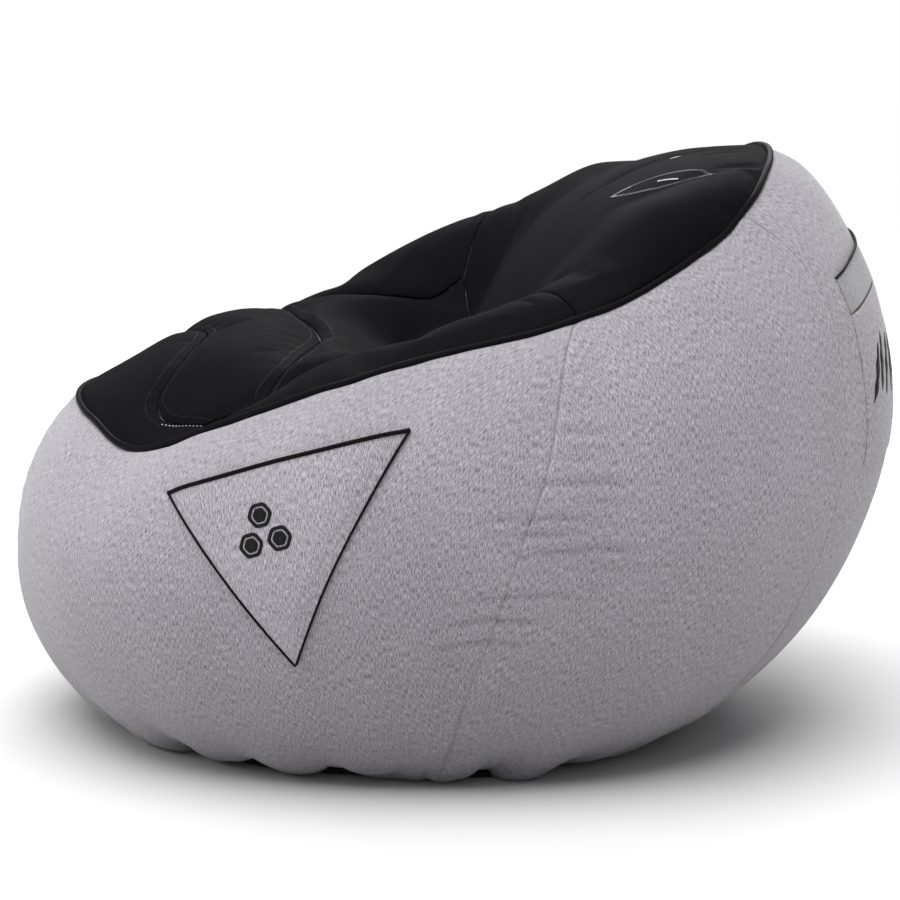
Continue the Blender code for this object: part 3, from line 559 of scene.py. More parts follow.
def heathered(name, light=GREY_LIGHT, middle=GREY_MIDDLE, dark=GREY_DARK, painted_shade=0.0):
    material = new_material(name, middle[:3], 0.92)
    cloth = Finish(material, "UV")
    warp = cloth.noise((1300, 150, 1), detail=3, roughness=0.65)
    weft = cloth.noise((330, 1700, 1), detail=3, roughness=0.65)
    specks = cloth.noise((560, 560, 1), detail=3)
    patches = cloth.noise((14, 7, 1), detail=3, roughness=0.6)
    mixed = cloth.math("ADD", cloth.math("MULTIPLY", warp, 0.70), cloth.math("MULTIPLY", weft, 0.14))
    mixed = cloth.math("ADD", mixed, cloth.math("MULTIPLY", specks, 0.16))
    mixed = cloth.math("ADD", mixed, cloth.math("MULTIPLY", cloth.math("SUBTRACT", patches, 0.5), 0.04))
    shade = cloth.mix(cloth.between(mixed, 0.41, 0.50), dark, middle)
    clean = cloth.mix(cloth.between(mixed, 0.49, 0.58), shade, light)
    height = cloth.nodes.new("ShaderNodeSeparateXYZ")
    cloth.put(cloth.place, height.inputs[0])
    # Painted shade: low on the cloth the colour is mixed towards near black.
    painted_shade_ramp = cloth.between(height.outputs["Y"], 0.0, PAINTED_SHADE_TO, PAINTED_SHADE_SHARE, 0.0)
    painted_shade_amount = cloth.math("MULTIPLY", painted_shade_ramp, painted_shade)
    cloth.colour(cloth.mix(painted_shade_amount, clean, (0.05, 0.048, 0.05, 1)))
    cloth.rough(cloth.between(warp, 0.3, 0.7, 0.86, 0.98))
    across = cloth.wave(THREADS * pi / 10, "X")
    along = cloth.wave(THREADS * pi / 10, "Y")
    cloth.bump(cloth.math("MULTIPLY", across, along), 0.00008, 0.6)
    cloth.bump(mixed, 0.0002, 0.6)
    cloth.shader.inputs["Sheen Weight"].default_value = 0.25
    cloth.shader.inputs["Sheen Roughness"].default_value = 0.6
    cloth.shader.inputs["Specular IOR Level"].default_value = 0.25
    return material


# Only the cover gets the painted shade towards the floor.
grey_cloth = heathered("grey_cloth", painted_shade=1.0)
print("weave of", THREADS, "threads in a metre")

# %% [markdown]
# ## Five panels of the cover
#
# Five panels make the bag: two in front, two behind the side seams, and one across the back. Full
# of beads, the cloth isn't smooth. It bulges softly over the beads, sinks into each seam with
# small puckers, gathers where it is turned under at the base, and settles into faint level
# creases low on the sides, where the weight of the beads presses it down. Each of these is a
# field of small moves along the cloth's normal, added up over the patch.

# %% How the cloth moves away from its pattern
CLOTH_STEP = 0.0046      # distance between the grid's threads
SEAM_GAP = 0.00003       # from a panel's edge to the middle of its seam
RIM_TUCK = 0.0020        # how near to the cord's middle the cover is sewn
HEM_LIFT = 0.0055        # the cover's lower edge stands this far off the floor


LEVEL_CREASES = [        # middle (y, z), half length, and how deep, for the creases that lie level
    (0.11, 0.390, 0.035, 0.6), (0.10, 0.341, 0.050, 1.0), (0.062, 0.306, 0.060, 0.9),
    (0.057, 0.291, 0.040, 0.7), (0.10, 0.272, 0.065, 1.0), (0.15, 0.252, 0.045, 0.5),
    (0.04, 0.226, 0.062, 0.8), (0.013, 0.201, 0.060, 1.0), (0.0, 0.178, 0.062, 0.9),
    (-0.04, 0.158, 0.045, 0.5),
]
BASE_FOLDS = [           # place round the bag, and how deep the cloth is gathered in there
    (0.13, 0.9), (0.245, 1.0), (0.34, 0.7), (0.43, 0.6), (0.570, 1.2), (0.66, 0.6), (0.78, 0.8), (0.92, 0.6),
    (1.07, 0.5), (1.21, 0.6), (1.33, 0.4), (1.45, 0.9), (1.55, 0.5), (1.66, 0.4), (1.76, 0.7), (1.89, 0.5),
]


def seam_dip(gap, along, height, points, seed):
    """A seam pulls the cloth in, most near its ends, and puckers it for a few centimetres."""
    pucker = np.sin(along * 2 * pi / 0.026 + 2.2 * lumps(points, 0.09, seed))
    strength = 0.45 + 0.55 * np.clip(lumps(points, 0.12, seed + 1) + 0.4, 0, 1)
    near_ends = 0.15 + 0.85 * np.maximum(smooth(1.75, 1.95, height), smooth(0.75, 0.4, height))
    dip = -0.0011 * near_ends * np.exp(-((gap / 0.0045) ** 2))
    return dip + 0.0007 * pucker * strength * np.exp(-gap / 0.018) * (1 - np.exp(-gap / 0.004))


def cloth_moves(points, round_, height):
    left, right, low, high = edge_gaps(points)
    move = 0.0030 * lumps(points, 0.17, 3) + 0.0011 * lumps(points, 0.065, 4)
    move *= smooth(0, 0.05, high) * smooth(0, 0.06, low)
    move += seam_dip(left, low, height, points, 11) + seam_dip(right, low, height, points, 12)
    # Tucked in under the piping, with small radiating puckers
    fine = lumps(points, 0.022, 21, (1, 1, 4))
    move += -0.0022 * np.exp(-((high / 0.006) ** 2)) + 0.0008 * fine * np.exp(-high / 0.020)
    # Gathers above the hem
    gather = creases(points, 0.040, 31, (1, 1, 6), 0.35) - 0.40
    wide = lumps(points, 0.085, 32, (1, 1, 3))
    deep = smooth(0.1, 0.8, lumps(points, 0.22, 33))
    move += (-0.0050 * gather * (0.4 + deep) + 0.0040 * wide) * np.exp(-low / 0.050)
    move += -0.0035 * creases(points, 0.022, 34, (1, 1, 4), 0.30) * deep * np.exp(-low / 0.030)
    for place, strength in BASE_FOLDS:
        gap = (round_ - place) * 0.95
        wide = 0.010 + 0.10 * low
        move -= 0.022 * strength * np.exp(-((gap / wide) ** 2)) * np.exp(-low / 0.035)
        move += 0.0085 * strength * np.exp(-(((np.abs(gap) - 0.034) / 0.022) ** 2)) * np.exp(-low / 0.050)
    # Level creases, on both sides of the bag
    on_side = smooth(0.2, 0.3, np.abs(points[..., 0]))
    for y, z, half_length, depth in LEVEL_CREASES:
        along = points[..., 1] - y
        gap = points[..., 2] - z + 1.6 * along**2 + 0.0012 * lumps(points, 0.03, 41)
        here = on_side * np.exp(-((along / half_length) ** 4))
        fold = np.exp(-((gap / 0.0038) ** 2)) - 0.5 * np.exp(-(((np.abs(gap) - 0.0085) / 0.005) ** 2))
        move -= 0.0031 * depth * fold * here
    return move


def above_floor(z):
    """Presses what would sink into the floor flat on it."""
    return np.where(z > 0.003, z, 0.0005 + 0.0025 * np.exp((z - 0.003) / 0.0025))


# %% A panel from its two seams
COVER_PANELS = {
    "cover_front_left": (0, SIDE_TOP),
    "cover_rear_left": (SIDE_TOP, BACK_TOP),
    "cover_back": (BACK_TOP, 2 - BACK_TOP),
    "cover_rear_right": (2 - BACK_TOP, 2 - SIDE_TOP),
    "cover_front_right": (2 - SIDE_TOP, 2),
}


def even_heights(round_, count):
    """Heights that are evenly spaced along the cloth at one place round the bag."""
    fine = 2 * steps(800)
    line = cover(np.full(801, round_), fine)
    run = np.concatenate([[0], np.linalg.norm(np.diff(line, axis=0), axis=1).cumsum()])
    return np.interp(np.linspace(0, run[-1], count + 1), run, fine)


def trimmed(points, left, right, low, high):
    """A grid with its edge rows moved inwards by these distances, within their own cells."""
    points = points.copy()
    for _ in range(2):
        for edge, inner, distance in ((0, 1, left), (-1, -2, right)):
            step = points[inner] - points[edge]
            share = distance / np.maximum(np.linalg.norm(step, axis=1), 1e-9)
            points[edge] += step * np.minimum(share, 0.8)[:, None]
        points = points.transpose(1, 0, 2)
        left, right, low, high = low, high, left, right
    return points


def cover_grid(start, end):
    belly = cover(start + (end - start) * steps(200), np.full(201, 1.0))
    width = np.linalg.norm(np.diff(belly, axis=0), axis=1).sum()
    tall = 0.5 * (start + end)
    run = np.linalg.norm(np.diff(cover(np.full(201, tall), 2 * steps(200)), axis=0), axis=1).sum()
    heights = even_heights(tall, int(run / CLOTH_STEP))
    across = steps(int(width / CLOTH_STEP))
    points = lattice(lambda p, q: cover(start + (end - start) * p, q), across, heights)
    round_, height = np.meshgrid(start + (end - start) * across, heights, indexing="ij")
    return points, round_, height, width, run


for name, (start, end) in COVER_PANELS.items():
    points, round_, height, width, run = cover_grid(start, end)
    move = cloth_moves(points, round_, height)
    outward = normals(points)
    low = edge_gaps(points)[2]
    top = points + outward * move[..., None]
    top[..., 2] += HEM_LIFT * (1 + 0.45 * lumps(points, 0.05, 51)) * np.exp(-((low / 0.03) ** 2))
    top = trimmed(top, SEAM_GAP, SEAM_GAP, 0, RIM_TUCK)
    bottom = top - normals(top) * COVER
    top[..., 2], bottom[..., 2] = above_floor(top[..., 2]), above_floor(bottom[..., 2])
    piece = shell(name + "_cloth", top, bottom, grey_cloth)
    finish_piece(piece, CHAIR, "cover_fabric", name)

# %% [markdown]
# ## Black seat cloth
#
# The seat is a smooth black knit bonded to a thin foam. Black cloth is never quite black: a low,
# broad sheen from its fine hairs makes the rounded parts look bluish grey where light falls on
# them, and leaves the folds dark. A little relief from the knit breaks the sheen up. The knit
# reads Object coordinates, because these pads change shape in the simulation below.

# %% Knit with a soft sheen
def black_knit(name, colour, roughness, sheen, relief=0.00012):
    material = new_material(name, colour, roughness)
    knit = Finish(material)
    loops = knit.cells((900, 900, 900))
    cloudy = knit.noise((26, 26, 26), detail=4, roughness=0.6)
    dust = knit.noise((700, 700, 700), detail=2)
    darker = (*[value * 0.72 for value in colour], 1)
    lighter = (*[value * 1.5 for value in colour], 1)
    shade = knit.math("ADD", knit.math("MULTIPLY", cloudy, 0.6), knit.math("MULTIPLY", dust, 0.4))
    knit.colour(knit.mix(shade, darker, lighter))
    knit.rough(knit.between(cloudy, 0.3, 0.7, roughness - 0.05, roughness + 0.06))
    knit.bump(loops, relief, 0.55)
    knit.shader.inputs["Sheen Weight"].default_value = sheen
    knit.shader.inputs["Sheen Roughness"].default_value = 0.38
    knit.shader.inputs["Sheen Tint"].default_value = (0.86, 0.88, 1.0, 1)
    knit.shader.inputs["Specular IOR Level"].default_value = 0.03
    return material


black_pad_cloth = black_knit("black_pad_cloth", (0.0058, 0.0058, 0.0068), 0.75, 0.008)
cord_cloth = black_knit("cord_cloth", (0.0060, 0.0060, 0.0072), 0.42, 0.02)
print("black cloths ready")

# %% [markdown]
# ## Six pads, blown up by a cloth simulation
#
# The seat is six pads: three channels across it, the backrest, and a band along each arm. Each
# could be modelled by hand as a crowned cushion, but quilting looks right only where cloth has
# been cut a little larger than its place, sewn down round its edge and pushed up by its filling.
# So each pad starts as a sheet on the form, pinned at its edge and one part in a hundred too
# large, and a pressure from below lifts it for twenty frames. How far a point may move is
# limited, so that a pad keeps its place. The seams themselves are pressed into the form first.

# %% Where the pads are cut
SEAM_1 = [(-0.38, 0.122), (0.0, 0.162), (0.38, 0.122), (0.72, 0.074), (0.87, 0.078), (1.0, 0.108)]
SEAM_2 = [(-0.5, 0.270), (0.0, 0.303), (0.5, 0.270), (0.78, 0.238), (1.0, 0.192)]
ARM_SEAM = [(0.108, 0.86), (0.192, 0.825), (0.25, 0.745), (0.35, 0.67), (0.47, 0.62)]
ARM_FRONT, ARM_MIDDLE, ARM_BACK = 0.108, 0.192, 0.47
RIM_FRONT, RIM_BACK = 0.125, 0.55
EDGE_SHARE = 1 / 6       # share of a wide pad's columns that lie beyond each arm seam


def spread(p, join):
    """u across a wide pad: even inside the arm seams, then finer towards the rim."""
    step = np.abs(2 * p - 1)
    inner_end = 1 - 2 * EDGE_SHARE
    start = np.arcsin(join)
    outside = np.sin(start + (pi / 2 - start) * (step - inner_end) / (2 * EDGE_SHARE))
    return np.sign(p - 0.5) * np.where(step < inner_end, join * step / inner_end, outside)


def beyond(out, join, inner, outer):
    """v of a seam that runs on from the arm seam to the rim."""
    return inner + (outer - inner) * (out - join) / (1 - join)


def front_pad(p, q):
    join = ARM_SEAM[0][1]
    u = spread(p, join)
    out = np.abs(u)
    seam = profile(SEAM_1, np.minimum(out / join, 1))
    seam = np.where(out < join, seam, beyond(out, join, ARM_FRONT, RIM_FRONT))
    return u, seam * q


def middle_pad(p, q):
    x = 2 * p - 1
    u = x * profile(ARM_SEAM, ARM_FRONT + (ARM_MIDDLE - ARM_FRONT) * q)
    start, end = profile(SEAM_1, np.abs(x)), profile(SEAM_2, np.abs(x))
    return u, start + (end - start) * q


def rear_pad(p, q):
    x = 2 * p - 1
    u = x * profile(ARM_SEAM, ARM_MIDDLE + (ARM_BACK - ARM_MIDDLE) * q)
    start = profile(SEAM_2, np.abs(x))
    return u, start + (ARM_BACK - start) * q


def back_pad(p, q):
    join = ARM_SEAM[-1][1]
    u = spread(p, join)
    out = np.abs(u)
    seam = np.where(out < join, ARM_BACK, beyond(out, join, ARM_BACK, RIM_BACK))
    return u, seam + (1 - seam) * np.sin(q * pi / 2)


def arm_pad(side):
    def place(p, q):
        split = 3 / 7
        inner = np.interp(q, [0, split, 1], [ARM_FRONT, ARM_MIDDLE, ARM_BACK])
        outer = RIM_FRONT + (RIM_BACK - RIM_FRONT) * q
        out_share = p if side > 0 else 1 - p
        join = profile(ARM_SEAM, inner)
        start = np.arcsin(join)
        out = np.sin(start + (pi / 2 - start) * out_share)
        return side * out, beyond(out, join, inner, outer)

    return place


def seat_grid(patch, across, along):
    """A pad's points and the seat's own normals there, which pads that share a seam also share."""
    p, q = np.meshgrid(across, along, indexing="ij")
    u, v = patch(p.ravel(), q.ravel())
    near_u = seat(np.minimum(u + STEP, 1), v) - seat(np.maximum(u - STEP, -1), v)
    near_v = seat(u, np.minimum(v + STEP, 1)) - seat(u, np.maximum(v - STEP, 0))
    normal = np.cross(near_u, near_v)
    normal /= np.maximum(np.linalg.norm(normal, axis=1), 1e-12)[:, None]
    shape = (len(across), len(along), 3)
    return seat(u, v).reshape(shape), normal.reshape(shape)


# %% Cloth under pressure
PAD_STEP = 0.0075        # distance between a pad's threads before subdivision
FRAMES = 20
SEAM_DEPTH = 0.0060      # how far a seam is pressed in, in front
FAR_ARM_SWELL = 0.027    # the right arm is plumper by the backrest
BACK_SEAM_SHARE = 0.35   # and the share of it behind, where the arms run into the backrest


def blown_up(name, start, crown, too_large):
    """The grid's points after its cloth was lifted by the filling, at most crown away."""
    columns, rows = start.shape[:2]
    obj = make_object(name + "_sheet", start.reshape(-1, 3), grid_faces(columns, rows), black_pad_cloth)
    held = obj.vertex_groups.new(name="held")
    held.add([int(i) for i in ring_of(columns, rows)], 1.0, "REPLACE")
    cloth = obj.modifiers.new("cloth", "CLOTH")
    settings = cloth.settings
    settings.vertex_group_mass = "held"
    settings.use_pressure, settings.uniform_pressure_force = True, 5
    settings.shrink_min = -too_large
    settings.effector_weights.gravity = 0
    settings.bending_stiffness = 1.5
    settings.quality = 6
    cloth.collision_settings.use_collision = False
    cloth.point_cache.frame_start, cloth.point_cache.frame_end = 1, FRAMES
    for frame_number in range(1, FRAMES + 1):
        bpy.context.scene.frame_set(frame_number)
    settled = obj.evaluated_get(bpy.context.evaluated_depsgraph_get()).to_mesh()
    points = np.zeros(columns * rows * 3, np.float32)
    settled.vertices.foreach_get("co", points)
    bpy.data.objects.remove(obj)
    bpy.context.scene.frame_set(1)
    moved = points.reshape(start.shape).astype(float) - start
    far = np.linalg.norm(moved, axis=2, keepdims=True)
    return start + moved * crown * np.tanh(far / crown) / np.maximum(far, 1e-9)


# %% Each pad: its patch, width, depth, edges on the rim, highest crown, and how much too large it is cut
RIM_PAD_TUCK = 0.0022
PADS = {
    "seat_pad_front": (front_pad, 0.86, 0.15, ("left", "right", "low"), 0.013, 0.009),
    "seat_pad_middle": (middle_pad, 0.72, 0.17, (), 0.014, 0.009),
    "seat_pad_rear": (rear_pad, 0.66, 0.30, (), 0.013, 0.008),
    "backrest_pad": (back_pad, 0.92, 0.56, ("left", "right", "high"), 0.010, 0.001),
    "arm_band_left": (arm_pad(1), 0.15, 0.50, ("right",), 0.011, 0.008),
    "arm_band_right": (arm_pad(-1), 0.15, 0.50, ("left",), 0.011, 0.008),
}
EDGES = ("left", "right", "low", "high")
pad_tops, pad_forms = {}, {}
for name, (patch, width, depth, on_rim, crown, too_large) in PADS.items():
    points, outward = seat_grid(patch, steps(round(width / PAD_STEP)), steps(round(depth / PAD_STEP)))
    depth_here = SEAM_DEPTH * (1 - (1 - BACK_SEAM_SHARE) * smooth(-0.10, 0.0, points[..., 1]))
    seams, rims = 0 * depth_here, 0 * depth_here + 1
    for edge, gap in zip(EDGES, edge_gaps(points)):
        if edge in on_rim:
            rims = rims * smooth(0, 0.02, gap)
        else:
            seams = np.maximum(seams, np.exp(-((gap / 0.012) ** 2)))
    press = 0.0035 * rims + depth_here * seams + 0.0015 * (1 - rims)
    far_arm = np.exp(-(((points[..., 1] - 0.080) / 0.15) ** 2)) * smooth(-0.16, -0.30, points[..., 0])
    press = press - FAR_ARM_SWELL * far_arm * rims
    start = points - outward * press[..., None]
    start = trimmed(start, *(RIM_PAD_TUCK if edge in on_rim else SEAM_GAP for edge in EDGES))
    top = blown_up(name, start, crown, too_large)
    pad_tops[name], pad_forms[name] = top, (points, outward)
    piece = shell(name + "_cushion", top, top - normals(top) * PAD_COVER, black_pad_cloth)
    refine(piece)
    finish_piece(piece, CHAIR, "seat_fabric", name)
    print("   crowned", round(float(np.linalg.norm(top - start, axis=2).max()) * 1000, 1), "mm")

# %% [markdown]
# ## Covered cord round the rim
#
# Piping is a cord wrapped in a strip of cloth that is cut on the bias. It is sewn between the
# cover and the seat, hides both raw edges and draws the line that the eye follows. Anything that
# runs along a path at one thickness suits Geometry Nodes: a line goes in, and a round section is
# swept along it. The same tree makes the pockets' bindings, each with its own radius.

# %% A Geometry Nodes tree, written in a few words
class Tree:
    """Builds a node tree with named inputs and one geometry output."""

    def __init__(self, name, **inputs):
        self.tree = bpy.data.node_groups.new(name, "GeometryNodeTree")
        interface = self.tree.interface
        interface.new_socket("Geometry", in_out="INPUT", socket_type="NodeSocketGeometry")
        self.identifiers = {}
        for label, value in inputs.items():
            kind = {float: "NodeSocketFloat", int: "NodeSocketInt"}.get(type(value), "NodeSocketMaterial")
            socket = interface.new_socket(label, in_out="INPUT", socket_type=kind)
            self.identifiers[label] = socket.identifier
            if kind != "NodeSocketMaterial":
                socket.default_value = value
        interface.new_socket("Geometry", in_out="OUTPUT", socket_type="NodeSocketGeometry")
        self.given = self.tree.nodes.new("NodeGroupInput").outputs

    def put(self, kind, settings=None, **inputs):
        """Adds a node. An input is a number, or another node's output."""
        node = self.tree.nodes.new(kind)
        for label, value in (settings or {}).items():
            setattr(node, label, value)
        for label, value in inputs.items():
            socket = node.inputs[int(label[2:])] if label.startswith("in") else node.inputs[label.replace("_", " ")]
            if isinstance(value, bpy.types.NodeSocket):
                self.tree.links.new(value, socket)
            else:
                socket.default_value = value
        return node.outputs

    def end(self, geometry):
        real = self.put("GeometryNodeRealizeInstances", Geometry=geometry)
        dressed = self.put("GeometryNodeSetMaterial", Geometry=real[0], Material=self.given["Material"])
        output = self.tree.nodes.new("NodeGroupOutput")
        self.tree.links.new(dressed[0], output.inputs[0])

    def run(self, name, obj, **inputs):
        """Runs the tree on an object, and gives back its result as a plain mesh object."""
        modifier = obj.modifiers.new("nodes", "NODES")
        modifier.node_group = self.tree
        for label, value in inputs.items():
            modifier[self.identifiers[label]] = value
        depsgraph = bpy.context.evaluated_depsgraph_get()
        mesh = bpy.data.meshes.new_from_object(obj.evaluated_get(depsgraph), depsgraph=depsgraph)
        bpy.data.objects.remove(obj)
        mesh.name = name
        mesh.shade_smooth()
        made = bpy.data.objects.new(name, mesh)
        bpy.context.scene.collection.objects.link(made)
        return made


def line_object(name, lines, ups=None):
    """Loose edges along one or more lines of points. Each point can carry the direction that is up."""
    points = np.concatenate([line for line, _ in lines])
    edges, first = [], 0
    for line, closed in lines:
        index = first + np.arange(len(line))
        ends = np.roll(index, -1)
        pairs = np.stack([index, ends], axis=1)
        edges.append(pairs if closed else pairs[:-1])
        first += len(line)
    mesh = bpy.data.meshes.new(name)
    mesh.from_pydata(points, np.concatenate(edges), [])
    if ups is not None:
        attribute = mesh.attributes.new("up", "FLOAT_VECTOR", "POINT")
        attribute.data.foreach_set("vector", np.concatenate(ups).astype(np.float32).ravel())
    obj = bpy.data.objects.new(name, mesh)
    bpy.context.scene.collection.objects.link(obj)
    return obj


# %% The tree for a covered cord
covered_cord = Tree("covered_cord", Radius=PIPING_RADIUS, Sides=16, Material=None)
line = covered_cord.put("GeometryNodeMeshToCurve", Mesh=covered_cord.given["Geometry"])
section = covered_cord.put(
    "GeometryNodeCurvePrimitiveCircle", Resolution=covered_cord.given["Sides"], Radius=covered_cord.given["Radius"]
)
swept = covered_cord.put("GeometryNodeCurveToMesh", Curve=line[0], Profile_Curve=section[0], Fill_Caps=True)
covered_cord.end(swept[0])

# %% The rim's cord, with the slight waver of sewn cloth
ROUND_STEPS = 900
places = 2 * np.arange(ROUND_STEPS) / ROUND_STEPS
rim_line = cover(places, np.full(ROUND_STEPS, 2.0))
waver = np.stack([lumps(rim_line, 0.045, seed) for seed in (61, 62, 63)], axis=1) * 0.0005
piping = covered_cord.run(
    "rim_cord", line_object("rim_line", [(rim_line + waver, True)]),
    Radius=PIPING_RADIUS, Sides=16, Material=cord_cloth,
)
finish_piece(piping, CHAIR, "piping", "rim_piping")

# %% [markdown]
# ## Wadding under the pads
#
# Under each black piece lies a layer of polyester wadding, which gives the pad its body. It is
# caught in the seams, so it is thick in the middle and thin at its edges. Its top follows the
# pad that the simulation made, and its underside follows the form.

# %% White wadding
def fluffy(name, colour):
    material = new_material(name, colour, 1.0)
    fluff = Finish(material)
    fibres = fluff.noise((320, 320, 320), detail=5, roughness=0.7, distortion=1.5)
    clouds = fluff.noise((40, 40, 40), detail=3)
    darker = (*[value * 0.82 for value in colour], 1)
    lighter = (*[min(1, value * 1.08) for value in colour], 1)
    fluff.colour(fluff.mix(fibres, darker, lighter))
    fluff.rough(fluff.between(clouds, 0.3, 0.7, 0.92, 1.0))
    fluff.bump(fibres, 0.0008, 0.8)
    fluff.shader.inputs["Sheen Weight"].default_value = 0.4
    return material


white_wadding = fluffy("white_wadding", (0.82, 0.82, 0.81))
WADDINGS = {
    "seat_pad_front": "wadding_front", "seat_pad_middle": "wadding_middle", "seat_pad_rear": "wadding_rear",
    "backrest_pad": "wadding_backrest", "arm_band_left": "wadding_arm_left", "arm_band_right": "wadding_arm_right",
}
PAD_AIR = 0.0018
FROM_SEAM, FROM_RIM = 1, 4       # cells that the wadding stops short of a seam and of the rim
for pad, name in WADDINGS.items():
    top = pad_tops[pad] - normals(pad_tops[pad]) * (PAD_COVER + 0.0008)
    points, outward = pad_forms[pad]
    under = points - outward * (PAD_COVER + PAD_AIR + WADDING)
    on_rim = PADS[pad][3]
    left, right, low, high = (FROM_RIM if edge in on_rim else FROM_SEAM for edge in EDGES)
    columns, rows = top.shape[:2]
    part = (slice(left, columns - right), slice(low, rows - high))
    body = 0.35 + 0.65 * (1 - np.exp(-np.min(edge_gaps(top[part]), axis=0) / 0.01))
    fluff = lumps(top[part], 0.018, 71) * 0.0005
    above = np.maximum(((top[part] - under[part]) * outward[part]).sum(axis=2), 0.003)
    thick = under[part] + outward[part] * (above * body + fluff)[..., None]
    piece = shell(name + "_layer", thick, under[part], white_wadding)
    finish_piece(piece, CHAIR, "wadding", name)

# %% [markdown]
# ## Laying small things on cloth
#
# A pocket, a print or a row of stitches has to lie on the cloth as it is, folds and all. So its
# points are cast onto the finished mesh and lifted a little along the surface's own direction.

# %% Surfaces to lay things on


def surface_of(*nodes):
    """A search tree over the faces of the pieces that stand for these nodes."""
    vertices, polygons, first = [], [], 0
    depsgraph = bpy.context.evaluated_depsgraph_get()
    for node in nodes:
        mesh = made[node].evaluated_get(depsgraph).to_mesh()
        vertices += [vertex.co.copy() for vertex in mesh.vertices]
        polygons += [[first + i for i in polygon.vertices] for polygon in mesh.polygons]
        first = len(vertices)
    return BVHTree.FromPolygons(vertices, polygons)


def laid(points, outward, tree, reach=0.03):
    """Where each point falls on the surface when it comes in from outside, and which way is up."""
    flat_points, flat_out = points.reshape(-1, 3), np.broadcast_to(outward, points.shape).reshape(-1, 3)
    places, ups = [], []
    for point, out in zip(flat_points, flat_out):
        hit, up, *_ = tree.ray_cast(Vector(point + out * reach), Vector(-out))
        if hit is None:
            hit, up, *_ = tree.find_nearest(Vector(point))
        places.append(hit)
        ups.append(up if up.dot(Vector(out)) > 0 else -up)
    return np.array(places).reshape(points.shape), np.array(ups).reshape(points.shape)


def cover_out(round_, height):
    """The form's own normals on the cover."""
    turn = cover(round_ + STEP, height) - cover(round_ - STEP, height)
    rise = cover(round_, height + STEP) - cover(round_, height - STEP)
    normal = np.cross(turn, rise)
    return normal / np.linalg.norm(normal, axis=1)[:, None]


# %% [markdown]
# ## Side pocket
#
# A three-cornered pocket is sewn on the left front panel, handy for a remote control. Its mouth
# is the top edge, bound in black, and its two other edges are sewn down under a thin black cord.
# An empty pocket lies flat at its sewn edges and stands off a little at the mouth.

# %% The pocket's three corners, and its cloth
POCKET_FRONT, POCKET_REAR, POCKET_TIP = (0.265, 1.496), (0.439, 1.559), (0.406, 0.707)
SIDE_BINDING_RADIUS, SIDE_EDGING_RADIUS = 0.0022, 0.0013
POCKET_FABRIC = 0.0018
POCKET_CELLS = 64

left_panel = surface_of("cover_front_left")
corner_places = np.array([POCKET_FRONT, POCKET_REAR, POCKET_TIP])
front_corner, rear_corner, tip_corner = cover(*corner_places.T)
pocket_out = cover_out(*corner_places.mean(axis=0)[:, None])[0]


def in_pocket(p, q):
    """A flat triangle: p runs along the mouth and q from the tip up to the mouth."""
    mouth = np.outer(1 - p, front_corner) + np.outer(p, rear_corner)
    return (1 - q)[:, None] * tip_corner + mouth * q[:, None]


flat_pocket = lattice(in_pocket, steps(POCKET_CELLS), np.maximum(steps(POCKET_CELLS), 0.004))
pocket_base, pocket_up = laid(flat_pocket, pocket_out, left_panel, 0.15)
left, right, low, high = edge_gaps(pocket_base)
sewn = np.minimum(np.minimum(left, right), 0.03)
ease = 0.0012 + 0.0030 * smooth(0, 0.03, sewn) + 0.0012 * lumps(pocket_base, 0.05, 81) * smooth(0, 0.02, sewn)
pocket_top = pocket_base + pocket_up * (ease + POCKET_FABRIC * 0.5)[..., None]
pocket_cloth = heathered("pocket_cloth")
pocket = shell("side_pocket_cloth", pocket_top, pocket_top - pocket_up * POCKET_FABRIC, pocket_cloth)
finish_piece(pocket, CHAIR, "cover_fabric", "side_pocket")

# %% Its bound mouth and corded edges
mouth_line = pocket_top[:, -1] + pocket_up[:, -1] * 0.0004
binding = covered_cord.run(
    "side_pocket_mouth_cord", line_object("mouth_line", [(mouth_line, False)]),
    Radius=SIDE_BINDING_RADIUS, Sides=12, Material=cord_cloth,
)
finish_piece(binding, CHAIR, "piping", "side_pocket_binding")
down = pocket_top[0, ::-1] + pocket_up[0, ::-1] * 0.0003
back_up = pocket_top[-1] + pocket_up[-1] * 0.0003
edging = covered_cord.run(
    "side_pocket_edge_cord", line_object("edge_line", [(np.concatenate([down, back_up[1:]]), False)]),
    Radius=SIDE_EDGING_RADIUS, Sides=10, Material=cord_cloth,
)
finish_piece(edging, CHAIR, "piping", "side_pocket_edging")

# %% [markdown]
# ## Back pocket
#
# Across the back runs a wide flat pocket. A facing band of the same cloth, woven a little denser,
# closes its top, under a bound mouth.

# %% The pocket and its band
BACK_POCKET_SIDE = 0.825
BACK_POCKET_BOTTOM, BACK_POCKET_BAND, BACK_POCKET_TOP = 0.92, 1.40, 1.54
BACK_BINDING_RADIUS, BACK_FABRIC = 0.0015, 0.0010
BAND_SEAM = 0.004        # how far each cloth stops from the line between band and pocket, in height
BAND_LIFT = 0.0008       # how far the band stands off the cover
band_cloth = heathered("band_cloth", (0.40, 0.395, 0.41, 1), (0.30, 0.295, 0.31, 1), (0.17, 0.17, 0.185, 1))
back_panel = surface_of("cover_back")


